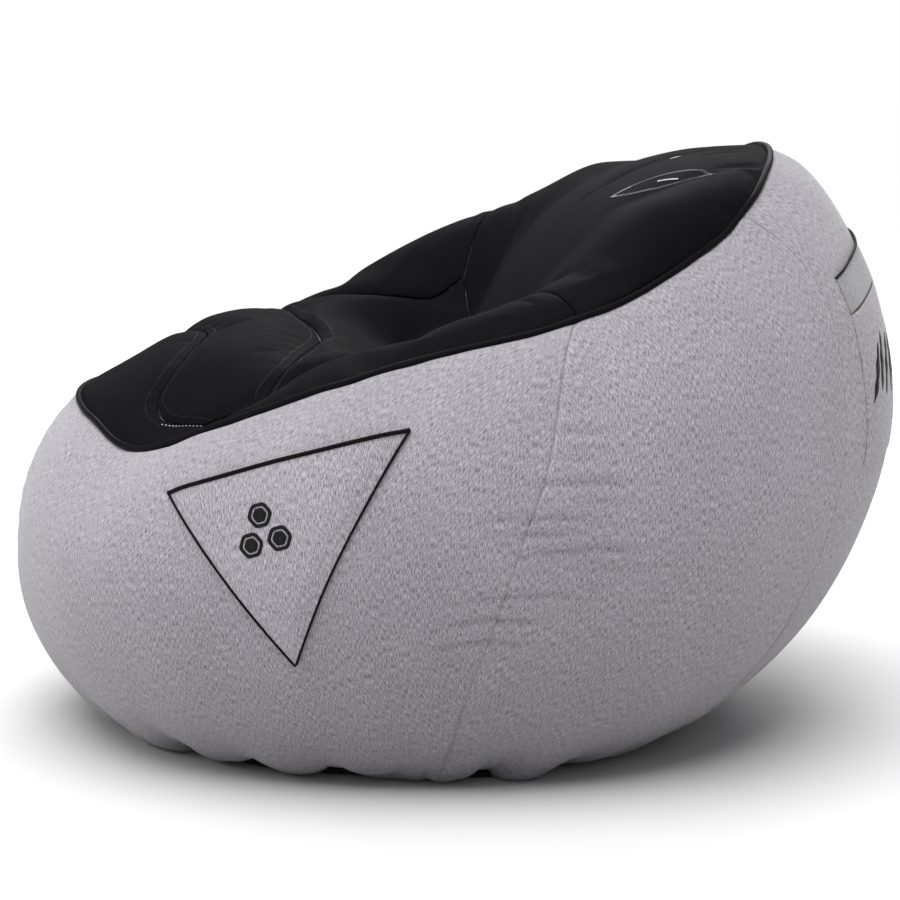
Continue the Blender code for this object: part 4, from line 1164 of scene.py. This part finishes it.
def back_piece(name, low_height, high_height, rows, cloth, lift_low, lift_high):
    across = BACK_POCKET_SIDE + (2 - 2 * BACK_POCKET_SIDE) * steps(110)
    round_, height = np.meshgrid(across, low_height + (high_height - low_height) * steps(rows), indexing="ij")
    shape = round_.shape + (3,)
    out = cover_out(round_.ravel(), height.ravel()).reshape(shape)
    base, _ = laid(cover(round_.ravel(), height.ravel()).reshape(shape), out, back_panel)
    left, right, low, high = edge_gaps(base)
    side = smooth(0, 0.025, np.minimum(left, right))
    lift = lift_low + (lift_high - lift_low) * smooth(0, 0.06, low)
    raised = 0.0006 + lift * side + 0.0004 * (1 + lumps(base, 0.05, 83)) * side + BACK_FABRIC / 2
    top = base + out * raised[..., None]
    piece = shell(name + "_cloth", top, top - out * BACK_FABRIC, cloth)
    finish_piece(piece, CHAIR, "cover_fabric", name)
    across_length, along_length = lengths(base)
    return top, out


pocket_rows = 52
back_piece(
    "back_pocket", BACK_POCKET_BOTTOM, BACK_POCKET_BAND - BAND_SEAM, pocket_rows, pocket_cloth, 0.0, BAND_LIFT
)
band_top, band_out = back_piece(
    "back_pocket_band", BACK_POCKET_BAND + BAND_SEAM, BACK_POCKET_TOP, 16, band_cloth, BAND_LIFT, BAND_LIFT
)
mouth_line = band_top[:, -1] + band_out[:, -1] * 0.0003
binding = covered_cord.run(
    "back_pocket_mouth_cord", line_object("mouth_line", [(mouth_line, False)]),
    Radius=BACK_BINDING_RADIUS, Sides=12, Material=cord_cloth,
)
finish_piece(binding, CHAIR, "piping", "back_pocket_binding")

# %% [markdown]
# ## Base panel and its hem
#
# The base is a black woven panel, and most of it is never seen. What shows is its turned-up hem:
# a soft black roll under the cover's lower edge, puckered where two layers are gathered into one
# seam. The panel has a slot for the zip through which the cover comes off.

# %% Black woven base cloth
def woven(name, colour, threads):
    material = new_material(name, colour, 0.85)
    cloth = Finish(material)
    across = cloth.wave(threads * pi / 10, "X", 0.4)
    along = cloth.wave(threads * pi / 10, "Y", 0.4)
    weave = cloth.math("MULTIPLY", across, along)
    dust = cloth.noise((60, 60, 60), detail=4)
    darker = (*[value * 0.6 for value in colour], 1)
    lighter = (*[value * 1.9 for value in colour], 1)
    cloth.colour(cloth.mix(cloth.math("MULTIPLY", weave, dust), darker, lighter))
    cloth.rough(cloth.between(dust, 0.3, 0.7, 0.78, 0.95))
    cloth.bump(weave, 0.0001, 0.7)
    return material


base_cloth = woven("base_cloth", (0.014, 0.014, 0.015), 900)
tape_cloth = woven("tape_cloth", (0.012, 0.012, 0.013), 1500)

# %% The panel, drawn from its edge in to the zip's slot
ZIP_LENGTH, ZIP_Y = 0.40, -0.05
ZIP_GAP, TOOTH_WIDTH, ZIP_SLOT_MARGIN = 0.0016, 0.0024, 0.0014
STOP_LENGTH = 0.004
BASE_COLUMNS, BASE_ROWS = 360, 44
places = 2 * np.arange(BASE_COLUMNS + 1) / BASE_COLUMNS
foot = cover(places, 0 * places)
foot[-1] = foot[0]
slot_half = ZIP_GAP / 2 + TOOTH_WIDTH + ZIP_SLOT_MARGIN
slot_reach = ZIP_LENGTH / 2 + STOP_LENGTH + 0.001
direction = foot[:, :2] / np.linalg.norm(foot[:, :2], axis=1)[:, None]
# The slot is a long hole with round corners, met along each direction from its middle
stretch = np.abs(direction / [slot_reach, slot_half]) ** 8
slot = direction / (stretch.sum(axis=1) ** (1 / 8))[:, None]
slot[:, 1] += ZIP_Y
share = np.linspace(0, 1, BASE_ROWS + 1) ** 1.3
loop = foot[:, None, :2] * (1 - share)[None, :, None] * 0.995 + slot[:, None] * share[None, :, None]
flat_base = np.concatenate([loop, np.zeros(loop.shape[:2] + (1,))], axis=2)
from_edge = lengths(flat_base)[1]
pucker = 0.0007 * lumps(flat_base, 0.022, 91) * np.exp(-from_edge / 0.03)
base_top = flat_base.copy()
base_top[..., 2] = BASE - 0.0004 + pucker - np.abs(pucker).max() * np.exp(-from_edge / 0.03)
base_low = flat_base.copy()
base_low[..., 2] = 0.0002 + (pucker + np.abs(pucker).max()) * np.exp(-from_edge / 0.03) * 0.4
base = shell("base_cloth_panel", base_top, base_low, base_cloth, around=True)
finish_piece(base, CHAIR, "base_fabric", "base_panel")

# %% The puckered roll of the hem
HEM_RADIUS = 0.0032
places = 2 * np.arange(1400) / 1400
roll = cover(places, 0 * places)
out = np.column_stack([roll[:, :2] / np.linalg.norm(roll[:, :2], axis=1)[:, None], np.zeros(len(roll))])
roll = roll + out * (0.0012 + 0.0016 * lumps(roll, 0.020, 95) + 0.0012 * lumps(roll, 0.05, 96))[:, None]
roll[:, 2] = HEM_RADIUS + 0.0002 + 0.0009 * (1 + lumps(roll, 0.024, 97)) * 0.5
hem = covered_cord.run(
    "base_hem", line_object("hem_line", [(roll, True)]), Radius=HEM_RADIUS, Sides=12, Material=base_cloth
)
finish_piece(hem, CHAIR, "base_fabric")

# %% [markdown]
# ## Rows of stitches
#
# Thread is what holds all this together. A row of stitches is one small shape, repeated along a
# line at an even pitch: the plainest use of Geometry Nodes there is. Each point of the line
# carries the direction away from the cloth, so that a flat stitch, or a tooth of the zip, lies
# the right way up. The same tree makes topstitching, embroidery and the zip's coil, by changing
# only the size of the shape and the pitch.

# %% The tree for a row of small shapes
row_of = Tree("row_of_stitches", Pitch=0.004, Along=0.003, Across=0.0006, Tall=0.0004, Material=None)
line = row_of.put("GeometryNodeMeshToCurve", Mesh=row_of.given["Geometry"])
spots = row_of.put("GeometryNodeCurveToPoints", {"mode": "LENGTH"}, Curve=line[0], Length=row_of.given["Pitch"])
up = row_of.put("GeometryNodeInputNamedAttribute", {"data_type": "FLOAT_VECTOR"}, Name="up")
turn = row_of.put(
    "FunctionNodeAxesToRotation", {"primary_axis": "X", "secondary_axis": "Z"},
    in0=spots["Tangent"], in1=up["Attribute"],
)
stitch = row_of.put("GeometryNodeMeshUVSphere", Segments=8, Rings=5, Radius=0.5)
size = row_of.put(
    "ShaderNodeCombineXYZ", X=row_of.given["Along"], Y=row_of.given["Across"], Z=row_of.given["Tall"]
)
placed = row_of.put(
    "GeometryNodeInstanceOnPoints",
    Points=spots["Points"], Instance=stitch["Mesh"], Rotation=turn[0], Scale=size[0],
)
row_of.end(placed[0])


def thread(name, colour, roughness):
    material = new_material(name, colour, roughness)
    fibre = Finish(material)
    twist = fibre.noise((1800, 1800, 1800), detail=2)
    darker = (*[value * 0.75 for value in colour], 1)
    lighter = (*[min(1, value * 1.2) for value in colour], 1)
    fibre.colour(fibre.mix(twist, darker, lighter))
    fibre.bump(twist, 0.0002, 0.5)
    fibre.shader.inputs["Sheen Weight"].default_value = 0.3 * colour[0]
    return material


black_thread = thread("black_thread", (0.006, 0.006, 0.007), 0.42)
white_thread = thread("white_thread", (0.80, 0.80, 0.82), 0.35)


def stitch_rows(name, lines, slot, material, **sizes):
    """One piece of all the rows: each line is its points and the way up at each of them."""
    obj = line_object(name + "_line", [(points, False) for points, _ in lines], [ups for _, ups in lines])
    return finish_piece(row_of.run(name, obj, Material=material, **sizes), CHAIR, slot)


# %% Topstitching beside the seams of the seat
seat_surface = surface_of(*PADS)


def on_seat(u, v, count=160):
    """A line on the finished pads between places of the seat, given as two lists."""
    way = np.linspace(0, len(u) - 1, count)
    u, v = (np.interp(way, np.arange(len(values)), values) for values in (u, v))
    points = seat(u, v)
    near_u, near_v = seat(u + STEP, v) - seat(u - STEP, v), seat(u, v + STEP) - seat(u, v - STEP)
    out = np.cross(near_u, near_v)
    return laid(points, out / np.linalg.norm(out, axis=1)[:, None], seat_surface, 0.025)


x = np.linspace(-1, 1, 41)
SEAM_OFFSET = 0.011
seam_rows = []
for seam, v_edge in ((SEAM_1, ARM_FRONT), (SEAM_2, ARM_MIDDLE)):
    u_line = x * profile(ARM_SEAM, v_edge) * 0.985
    for side in (-1, 1):
        seam_rows.append(on_seat(u_line, profile(seam, np.abs(x)) + side * SEAM_OFFSET, 400))
stitch_rows(
    "seat_topstitch", seam_rows, "seat_fabric", black_thread,
    Pitch=0.0042, Along=0.0031, Across=0.0007, Tall=0.0005,
)

dotted = [on_seat([side * 0.735, side * 0.80, side * 0.86], [0.070, 0.086, 0.105], 60) for side in (1, -1)]
stitch_rows(
    "arm_topstitch", dotted, "seat_fabric", white_thread,
    Pitch=0.0052, Along=0.0030, Across=0.0011, Tall=0.0008,
)

# %% [markdown]
# ## Printed and embroidered marks
#
# Three plain hexagons, like a bit of honeycomb, are printed on the pocket. A print is a film of
# ink with hardly any height, so each hexagon is a flat grid laid on the pocket's own surface.
# Each has a ring left open, where the cloth shows through.

# %% Ink
ink = new_material("black_ink", (0.006, 0.006, 0.007), 0.6)
film = Finish(ink)
speckle = film.noise((900, 900, 900), detail=3)
film.colour(film.mix(speckle, (0.004, 0.004, 0.005, 1), (0.012, 0.012, 0.013, 1)))
film.rough(film.between(film.noise((120, 120, 120), detail=2), 0.3, 0.7, 0.42, 0.6))
film.bump(film.noise((1400, 1400, 1400), detail=1), 0.0001, 0.4)
film.shader.inputs["Specular IOR Level"].default_value = 0.15
INK_HEIGHT = 0.0004
pocket_surface = surface_of("side_pocket")


def hexagon_ring(middle, across, up, inner, outer):
    """A grid between two hexagons with slightly rounded corners."""
    angles = 2 * pi * steps(72)
    angles[-1] = 0
    edge = cos(pi / 6) / np.cos((angles % (pi / 3)) - pi / 6)
    edge = edge - 0.06 * smooth(0.90, 1.0, edge)
    ring = (across * np.cos(angles)[:, None] + up * np.sin(angles)[:, None]) * edge[:, None]
    return middle + ring[:, None] * np.linspace(outer, inner, 4)[None, :, None]


def printed(name, grids, outward, surface, around=False):
    """One piece of all the prints, each a grid laid on the surface."""
    vertices, faces, first = [], [], 0
    for grid in grids:
        base, up = laid(grid, outward, surface, 0.05)
        vertices += [(base + up * INK_HEIGHT).reshape(-1, 3), (base + up * INK_HEIGHT * 0.1).reshape(-1, 3)]
        faces.append(first + closed_faces(*grid.shape[:2], around))
        first += 2 * grid.shape[0] * grid.shape[1]
    obj = make_object(name, np.concatenate(vertices), np.concatenate(faces), ink)
    return finish_piece(merged(obj), CHAIR, "piping")


# %% Honeycomb on the pocket
across = (rear_corner - front_corner) / np.linalg.norm(rear_corner - front_corner)
upward = np.cross(pocket_out, across)
upward = upward if upward[2] > 0 else -upward
honeycomb_middle = 0.40 * front_corner + 0.27 * rear_corner + 0.33 * tip_corner
HEXAGON, SPACING = 0.0142, 0.0182
grids = []
for turn in (pi / 2, pi / 2 + 2 * pi / 3, pi / 2 + 4 * pi / 3):
    middle = honeycomb_middle + (across * cos(turn) + upward * sin(turn)) * SPACING
    grids.append(hexagon_ring(middle, across, upward, 0.0004, HEXAGON * 0.58))
    grids.append(hexagon_ring(middle, across, upward, HEXAGON * 0.70, HEXAGON))
printed("honeycomb_print", grids, pocket_out, pocket_surface, around=True)

# %% [markdown]
# ### Dashes across the back
#
# A loose row of slanting brush dashes is printed low on the back of the cover. Each is a short
# stroke that swells in the middle and tapers to its ends, and no two lean alike.

# %% Brush dashes
back_surface = surface_of("cover_back", "back_pocket")
DASHES = [
    (0.850, 0.13), (0.868, 0.11), (0.884, 0.14), (0.903, 0.10),
    (0.921, 0.13), (0.938, 0.11), (0.957, 0.12),
]
grids, outs = [], []
for number, (place, lean) in enumerate(DASHES):
    way = np.linspace(-1, 1, 22)
    half_width = 0.0042 * (1 - np.abs(way) ** 2.2) + 0.0006
    half_width = half_width * (1 + 0.25 * np.sin(9 * way + number))
    height = 1.17 + 0.085 * way + 0.02 * np.sin(1.7 * number)
    middle = cover(np.full(22, place) + lean * 0.12 * way, height)
    out = cover_out(np.full(22, place), height)
    line = np.gradient(middle, axis=0)
    sideways = np.cross(out, line / np.linalg.norm(line, axis=1)[:, None])
    grid = middle[None] + sideways[None] * half_width[None, :, None] * np.linspace(1, -1, 4)[:, None, None]
    grids.append(grid)
    outs.append(out.mean(axis=0))
printed("back_dashes", grids, np.mean(outs, axis=0) / np.linalg.norm(np.mean(outs, axis=0)), back_surface)

# %% [markdown]
# ### Embroidered mark at the head
#
# Near the top of the backrest sits an embroidered mark: a long pointed oval in glossy thread. A
# white stitch at each end and a short white bar inside are painted highlights in white thread,
# where the glossy mark catches the light. Satin stitch is thread laid side by side across the
# line, so it is the same row of shapes as before, only wider than it is long.

# %% A pointed oval in satin stitch
HEAD_FROM, HEAD_TO = (0.30, 0.655), (0.535, 0.845)
HEAD_WIDTH = 0.052
SATIN_PITCH, SATIN_THREAD, SATIN_HEIGHT = 0.0007, 0.0009, 0.0016


def head_line(low_way, high_way, side, count=60):
    """Part of the oval's edge: way runs 0 to 1 along it, and side is -1, 0 or 1."""
    way = np.linspace(low_way, high_way, count)
    u = HEAD_FROM[0] + (HEAD_TO[0] - HEAD_FROM[0]) * way
    v = HEAD_FROM[1] + (HEAD_TO[1] - HEAD_FROM[1]) * way
    swell = side * HEAD_WIDTH * np.sin(pi * way)
    lean = np.array([HEAD_TO[1] - HEAD_FROM[1], HEAD_FROM[0] - HEAD_TO[0]])
    lean = lean / np.linalg.norm(lean)
    return on_seat(list(u + swell * lean[0]), list(v + swell * lean[1]), count * 2)


stitch_rows(
    "head_outline", [head_line(0, 1, -1), head_line(0, 1, 1)], "seat_fabric", black_thread,
    Pitch=SATIN_PITCH, Along=SATIN_THREAD, Across=0.0065, Tall=SATIN_HEIGHT,
)
# Painted highlights: white satin stitches at both ends of the oval and a short bar in its middle.
painted_highlight_marks = [
    head_line(0.0, 0.10, -1, 12), head_line(0.0, 0.10, 1, 12),
    head_line(0.90, 1.0, -1, 12), head_line(0.90, 1.0, 1, 12), head_line(0.40, 0.60, 0, 14),
]
stitch_rows(
    "head_highlights", painted_highlight_marks, "seat_fabric", white_thread,
    Pitch=SATIN_PITCH, Along=SATIN_THREAD, Across=0.0028, Tall=SATIN_HEIGHT,
)

# %% [markdown]
# ## Liner and beads
#
# Inside the cover is a second bag, the liner, so that the cover can come off for washing without
# the beads pouring out. Both are the same closed form, moved in: less along the cover, more under
# the padded seat. The filling is modelled as the one body of beads that the liner holds.

# %% A closed form from three grids
INNER_COLUMNS, INNER_ROWS, INNER_HEIGHTS = 72, 60, 46
SLACK, LAYER_AIR, RAMP = 0.006, 0.001, 0.018
LINER_MOUTH = 0.30


def inner_form(rim_depth, seat_depth, mouth):
    last = len(RIM) - 1
    u = np.sin(np.linspace(-pi / 2, pi / 2, INNER_COLUMNS + 1))
    v = (1 - np.cos(pi * steps(INNER_ROWS))) / 2
    padded_seat = lattice(lambda p, q: seat(p, q), u, v)
    front = u[u >= -1e-9] * FRONT_CORNER / last
    side = (FRONT_CORNER + v[1:] * (BACK_CORNER - FRONT_CORNER)) / last
    back = 1 - u[u >= -1e-9][::-1][1:] * (last - BACK_CORNER) / last
    half = np.concatenate([front, side, back])
    round_ = np.concatenate([half, 2 - half[::-1][1:]])
    round_[0], round_[-1] = 0, 2
    bag_grid = lattice(cover, round_, even_heights(0.5, INNER_HEIGHTS))
    foot = bag_grid[:, 0]
    inner_share = np.linspace(max(mouth, 1e-6), 1, 12)
    base_grid = foot[:, None] * np.stack([inner_share, inner_share, 0 * inner_share + 1], axis=1)[None]
    points = np.concatenate([grid.reshape(-1, 3) for grid in (padded_seat, bag_grid, base_grid)])
    faces, first = [], 0
    for grid in (padded_seat, bag_grid, base_grid):
        faces.append(grid_faces(*grid.shape[:2], first))
        first += grid.shape[0] * grid.shape[1]
    bm = bmesh.new()
    vertices = [bm.verts.new(point) for point in points]
    for face in np.concatenate(faces):
        bm.faces.new([vertices[i] for i in face])
    bmesh.ops.remove_doubles(bm, verts=bm.verts[:], dist=2e-5)
    bmesh.ops.recalc_face_normals(bm, faces=bm.faces[:])
    bm.normal_update()
    places = np.array([vert.co[:] for vert in bm.verts])
    from_rim = np.linalg.norm(places[:, None] - rim_line[None, ::6], axis=2).min(axis=1)
    seat_points = [Vector(p) for p in padded_seat.reshape(-1, 3)]
    seat_faces = [list(map(int, f)) for f in grid_faces(*padded_seat.shape[:2])]
    seat_tree = BVHTree.FromPolygons(seat_points, seat_faces)
    on_seat_ = np.array([seat_tree.find_nearest(Vector(place))[3] < 1e-5 for place in places])
    ramp = np.where(on_seat_, np.minimum(from_rim / RAMP, 1), 0)
    depth = rim_depth + (seat_depth - rim_depth) * ramp
    moves = [vert.normal * -d * min(vert.calc_shell_factor(), 1.5) for vert, d in zip(bm.verts, depth)]
    for vert, step in zip(bm.verts, moves):
        vert.co += step
    mesh = bpy.data.meshes.new("inner")
    bm.to_mesh(mesh)
    bm.free()
    return mesh


def inner_piece(name, mesh, material, ripple, size, seed):
    """Adds fine ripples that only ever move inwards."""
    mesh.name = name
    mesh.materials.append(material)
    mesh.shade_smooth()
    points = np.array([vertex.co[:] for vertex in mesh.vertices])
    out = np.array([vertex.normal[:] for vertex in mesh.vertices])
    above_floor = smooth(0.012, 0.05, points[:, 2])
    points += out * (-ripple * (1 + lumps(points, size, seed)) * 0.5 * above_floor)[:, None]
    mesh.vertices.foreach_set("co", points.astype(np.float32).ravel())
    mesh.update()
    obj = bpy.data.objects.new(name, mesh)
    bpy.context.scene.collection.objects.link(obj)
    return obj


# %% Liner cloth and beads
liner_cloth = woven("liner_cloth", (0.42, 0.43, 0.45), 1200)
foam_beads = new_material("foam_beads", (0.88, 0.88, 0.87), 0.65)
bead = Finish(foam_beads)
round_beads = bead.cells((280, 280, 280))
# Painted shade: each bead is white in its middle and grey at its edge, where it meets the next bead.
bead.colour(bead.mix(bead.between(round_beads, 0.0, 0.7), (0.93, 0.93, 0.92, 1), (0.55, 0.55, 0.55, 1)))
bead.rough(bead.between(round_beads, 0.0, 0.6, 0.55, 0.8))
bead.bump(bead.math("SUBTRACT", 1.0, round_beads), 0.0018, 1.0)

above_liner = PAD_COVER + PAD_AIR + WADDING + SLACK
liner_form = inner_form(COVER + SLACK, above_liner, LINER_MOUTH)
liner = inner_piece("liner_bag", liner_form, liner_cloth, 0.0006, 0.03, 101)
thickness = liner.modifiers.new("thickness", "SOLIDIFY")
thickness.thickness, thickness.offset = LINER * 0.6, -1
finish_piece(liner, CHAIR, "liner_fabric", "inner_liner")

bead_form = inner_form(COVER + SLACK + LINER + LAYER_AIR, above_liner + LINER + LAYER_AIR, 0)
filling = inner_piece("beads", bead_form, foam_beads, 0.0014, 0.02, 102)
finish_piece(filling, CHAIR, "beads", "bead_filling")

# %% The patch over the filling mouth
places = 2 * np.arange(181) / 180
outline = cover(places, 0 * places) * [LINER_MOUTH, LINER_MOUTH, 0]
outline[-1] = outline[0]
patch_share = np.linspace(1, 0.002, 24)
patch = outline[:, None] * patch_share[None, :, None] * (1 - 0.001 / np.linalg.norm(outline[0]))
edge_ease = smooth(0, 0.012, lengths(patch)[1])
patch[..., 2] = COVER + SLACK + LINER + 0.0003 * edge_ease * lumps(patch, 0.03, 103) - 0.0003
low_patch = patch - np.array([0, 0, LINER * 0.5])
patch_piece = shell("liner_patch", patch, low_patch, liner_cloth, around=True)
finish_piece(patch_piece, CHAIR, "liner_fabric", "liner_mouth_patch")

# %% [markdown]
# ## The zip in the base
#
# A coil zip closes the slot in the base. Each half is a woven tape with a row of coil turns sewn
# along its edge. A stop is clamped on at each end, and the slider runs between them. It has no
# pull, so that a child can't open it. Only the slider moves, so it rides on its own body.

# %% Coated metal
coated_metal = new_material("coated_metal", (0.035, 0.035, 0.038), 0.38, 0.9)
metal = Finish(coated_metal)
worn = metal.noise((500, 500, 500), detail=4)
metal.colour(metal.mix(metal.between(worn, 0.55, 0.75), (0.03, 0.03, 0.033, 1), (0.16, 0.16, 0.165, 1)))
metal.rough(metal.between(worn, 0.3, 0.7, 0.30, 0.5))
metal.bump(worn, 0.0001, 0.4)
coil_plastic = new_material("coil_plastic", (0.018, 0.018, 0.020), 0.35)
coil = Finish(coil_plastic)
coil.rough(coil.between(coil.noise((800, 800, 800)), 0.3, 0.7, 0.28, 0.42))
coil_speckle = coil.noise((300, 300, 300), detail=2)
coil.colour(coil.mix(coil_speckle, (0.012, 0.012, 0.013, 1), (0.030, 0.030, 0.033, 1)))

# %% Tapes and coils
TAPE_WIDTH, TAPE_THICKNESS = 0.013, 0.0006
TOOTH_BOTTOM, TOOTH_TOP = 0.0017, 0.0040
COIL_PITCH = 0.0019
TAPE_LOW = BASE + 0.0005
half_zip = ZIP_LENGTH / 2
for name, side in (("front", -1), ("back", 1)):
    x = np.linspace(-half_zip, half_zip, 201)
    inner_y = ZIP_GAP / 2 + TOOTH_WIDTH * 0.35
    y = ZIP_Y + side * np.linspace(inner_y, ZIP_GAP / 2 + TOOTH_WIDTH + TAPE_WIDTH, 9)
    if side < 0:
        y = y[::-1]
    tape_x, tape_y = np.meshgrid(x, y, indexing="ij")
    low = np.stack([tape_x, tape_y, np.full(tape_x.shape, TAPE_LOW)], axis=2)
    top = low + [0, 0, TAPE_THICKNESS]
    tape = shell(f"zip_tape_{name}", top, low, tape_cloth)
    finish_piece(tape, CHAIR, "base_fabric", f"zip_half_{name}")
    tooth_y = ZIP_Y + side * (ZIP_GAP / 2 + TOOTH_WIDTH / 2)
    line = np.array([[x_end, tooth_y, (TOOTH_BOTTOM + TAPE_LOW) / 2] for x_end in (-half_zip, half_zip)])
    ups = np.array([[0, 0, 1.0]] * 2)
    teeth = row_of.run(
        f"zip_coil_{name}", line_object("coil_line", [(line, False)], [ups]), Material=coil_plastic,
        Pitch=COIL_PITCH, Along=0.0013, Across=TOOTH_WIDTH, Tall=TAPE_LOW - TOOTH_BOTTOM,
    )
    finish_piece(teeth, CHAIR, "zip_metal")

# %% Stops and slider
def bevelled(obj, width):
    bevel = obj.modifiers.new("round edges", "BEVEL")
    bevel.width, bevel.segments, bevel.limit_method = width, 3, "ANGLE"
    return obj


def extruded(name, outline_points, low, high, material):
    """A plate from a flat outline, given as x and y."""
    bm = bmesh.new()
    face = bm.faces.new([bm.verts.new((x, y, low)) for x, y in outline_points])
    grown = bmesh.ops.extrude_face_region(bm, geom=[face])["geom"]
    for vert in (item for item in grown if isinstance(item, bmesh.types.BMVert)):
        vert.co.z = high
    bmesh.ops.recalc_face_normals(bm, faces=bm.faces[:])
    mesh = bpy.data.meshes.new(name)
    bm.to_mesh(mesh)
    bm.free()
    mesh.materials.append(material)
    mesh.shade_smooth()
    mesh.set_sharp_from_angle(angle=radians(40))
    obj = bpy.data.objects.new(name, mesh)
    bpy.context.scene.collection.objects.link(obj)
    return obj


def joined(name, objects):
    """Several evaluated objects as one plain mesh."""
    depsgraph = bpy.context.evaluated_depsgraph_get()
    bm = bmesh.new()
    for obj in objects:
        mesh = bpy.data.meshes.new_from_object(obj.evaluated_get(depsgraph), depsgraph=depsgraph)
        bm.from_mesh(mesh)
    mesh = bpy.data.meshes.new(name)
    bm.to_mesh(mesh)
    bm.free()
    mesh.materials.append(objects[0].data.materials[0])
    mesh.shade_smooth()
    mesh.set_sharp_from_angle(angle=radians(40))
    for obj in objects:
        bpy.data.objects.remove(obj)
    made = bpy.data.objects.new(name, mesh)
    bpy.context.scene.collection.objects.link(made)
    return made


outer = ZIP_GAP / 2 + TOOTH_WIDTH
for name, side in (("left", 1), ("right", -1)):
    low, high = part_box(f"zip_stop_{name}")
    x_low, x_high = low.x, high.x
    waist = outer * 0.72
    rib = [(x_low, -waist), (x_low, waist)]
    for number in range(3):
        start = x_low + (x_high - x_low) * (0.15 + 0.3 * number)
        rib += [(start, waist), (start + 0.0002, outer), (start + 0.0006, outer), (start + 0.0008, waist)]
    rib += [(x_high, waist), (x_high, -waist)]
    rib += [(x, -y) for x, y in rib[::-1][2:-2] if y > 0]
    outline = [(x, ZIP_Y + y) for x, y in rib]
    stop = extruded(f"zip_stop_{name}_body", outline, TOOTH_BOTTOM, TOOTH_TOP, coated_metal)
    finish_piece(
        joined(f"{name}_zip_stop", [bevelled(stop, 0.00012)]), CHAIR, "zip_metal", f"zip_stop_{name}"
    )

low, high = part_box("zip_slider")
plate = 0.0008


def slider_outline():
    """Half round at the narrow end, flared at the end where the halves part."""
    back, front = low.x, high.x
    turn = np.linspace(pi / 2, 3 * pi / 2, 13)
    narrow = outer * 0.78
    nose = [(back + narrow * (1 + cos(a)), narrow * sin(a)) for a in turn[::-1]]
    corner, flared = front - 0.0022, outer * 0.94
    flare = [(corner, outer), (front, flared), (front, -flared), (corner, -outer)]
    return [(x, ZIP_Y + y) for x, y in nose + flare]


lower = extruded("lower_plate", slider_outline(), low.z, low.z + plate, coated_metal)
upper = extruded("upper_plate", slider_outline(), high.z - plate, high.z, coated_metal)
NECK_HALF = 0.0005
neck_outline = [
    (high.x - 0.0036, ZIP_Y), (high.x - 0.0018, ZIP_Y - NECK_HALF),
    (high.x - 0.0004, ZIP_Y), (high.x - 0.0018, ZIP_Y + NECK_HALF),
]
neck = extruded("neck", neck_outline, low.z + plate * 0.8, high.z - plate * 0.8, coated_metal)
slider = joined("slider_body", [bevelled(lower, 0.0002), bevelled(upper, 0.0002), neck])
finish_piece(slider, SLIDER, "zip_metal", "zip_slider")
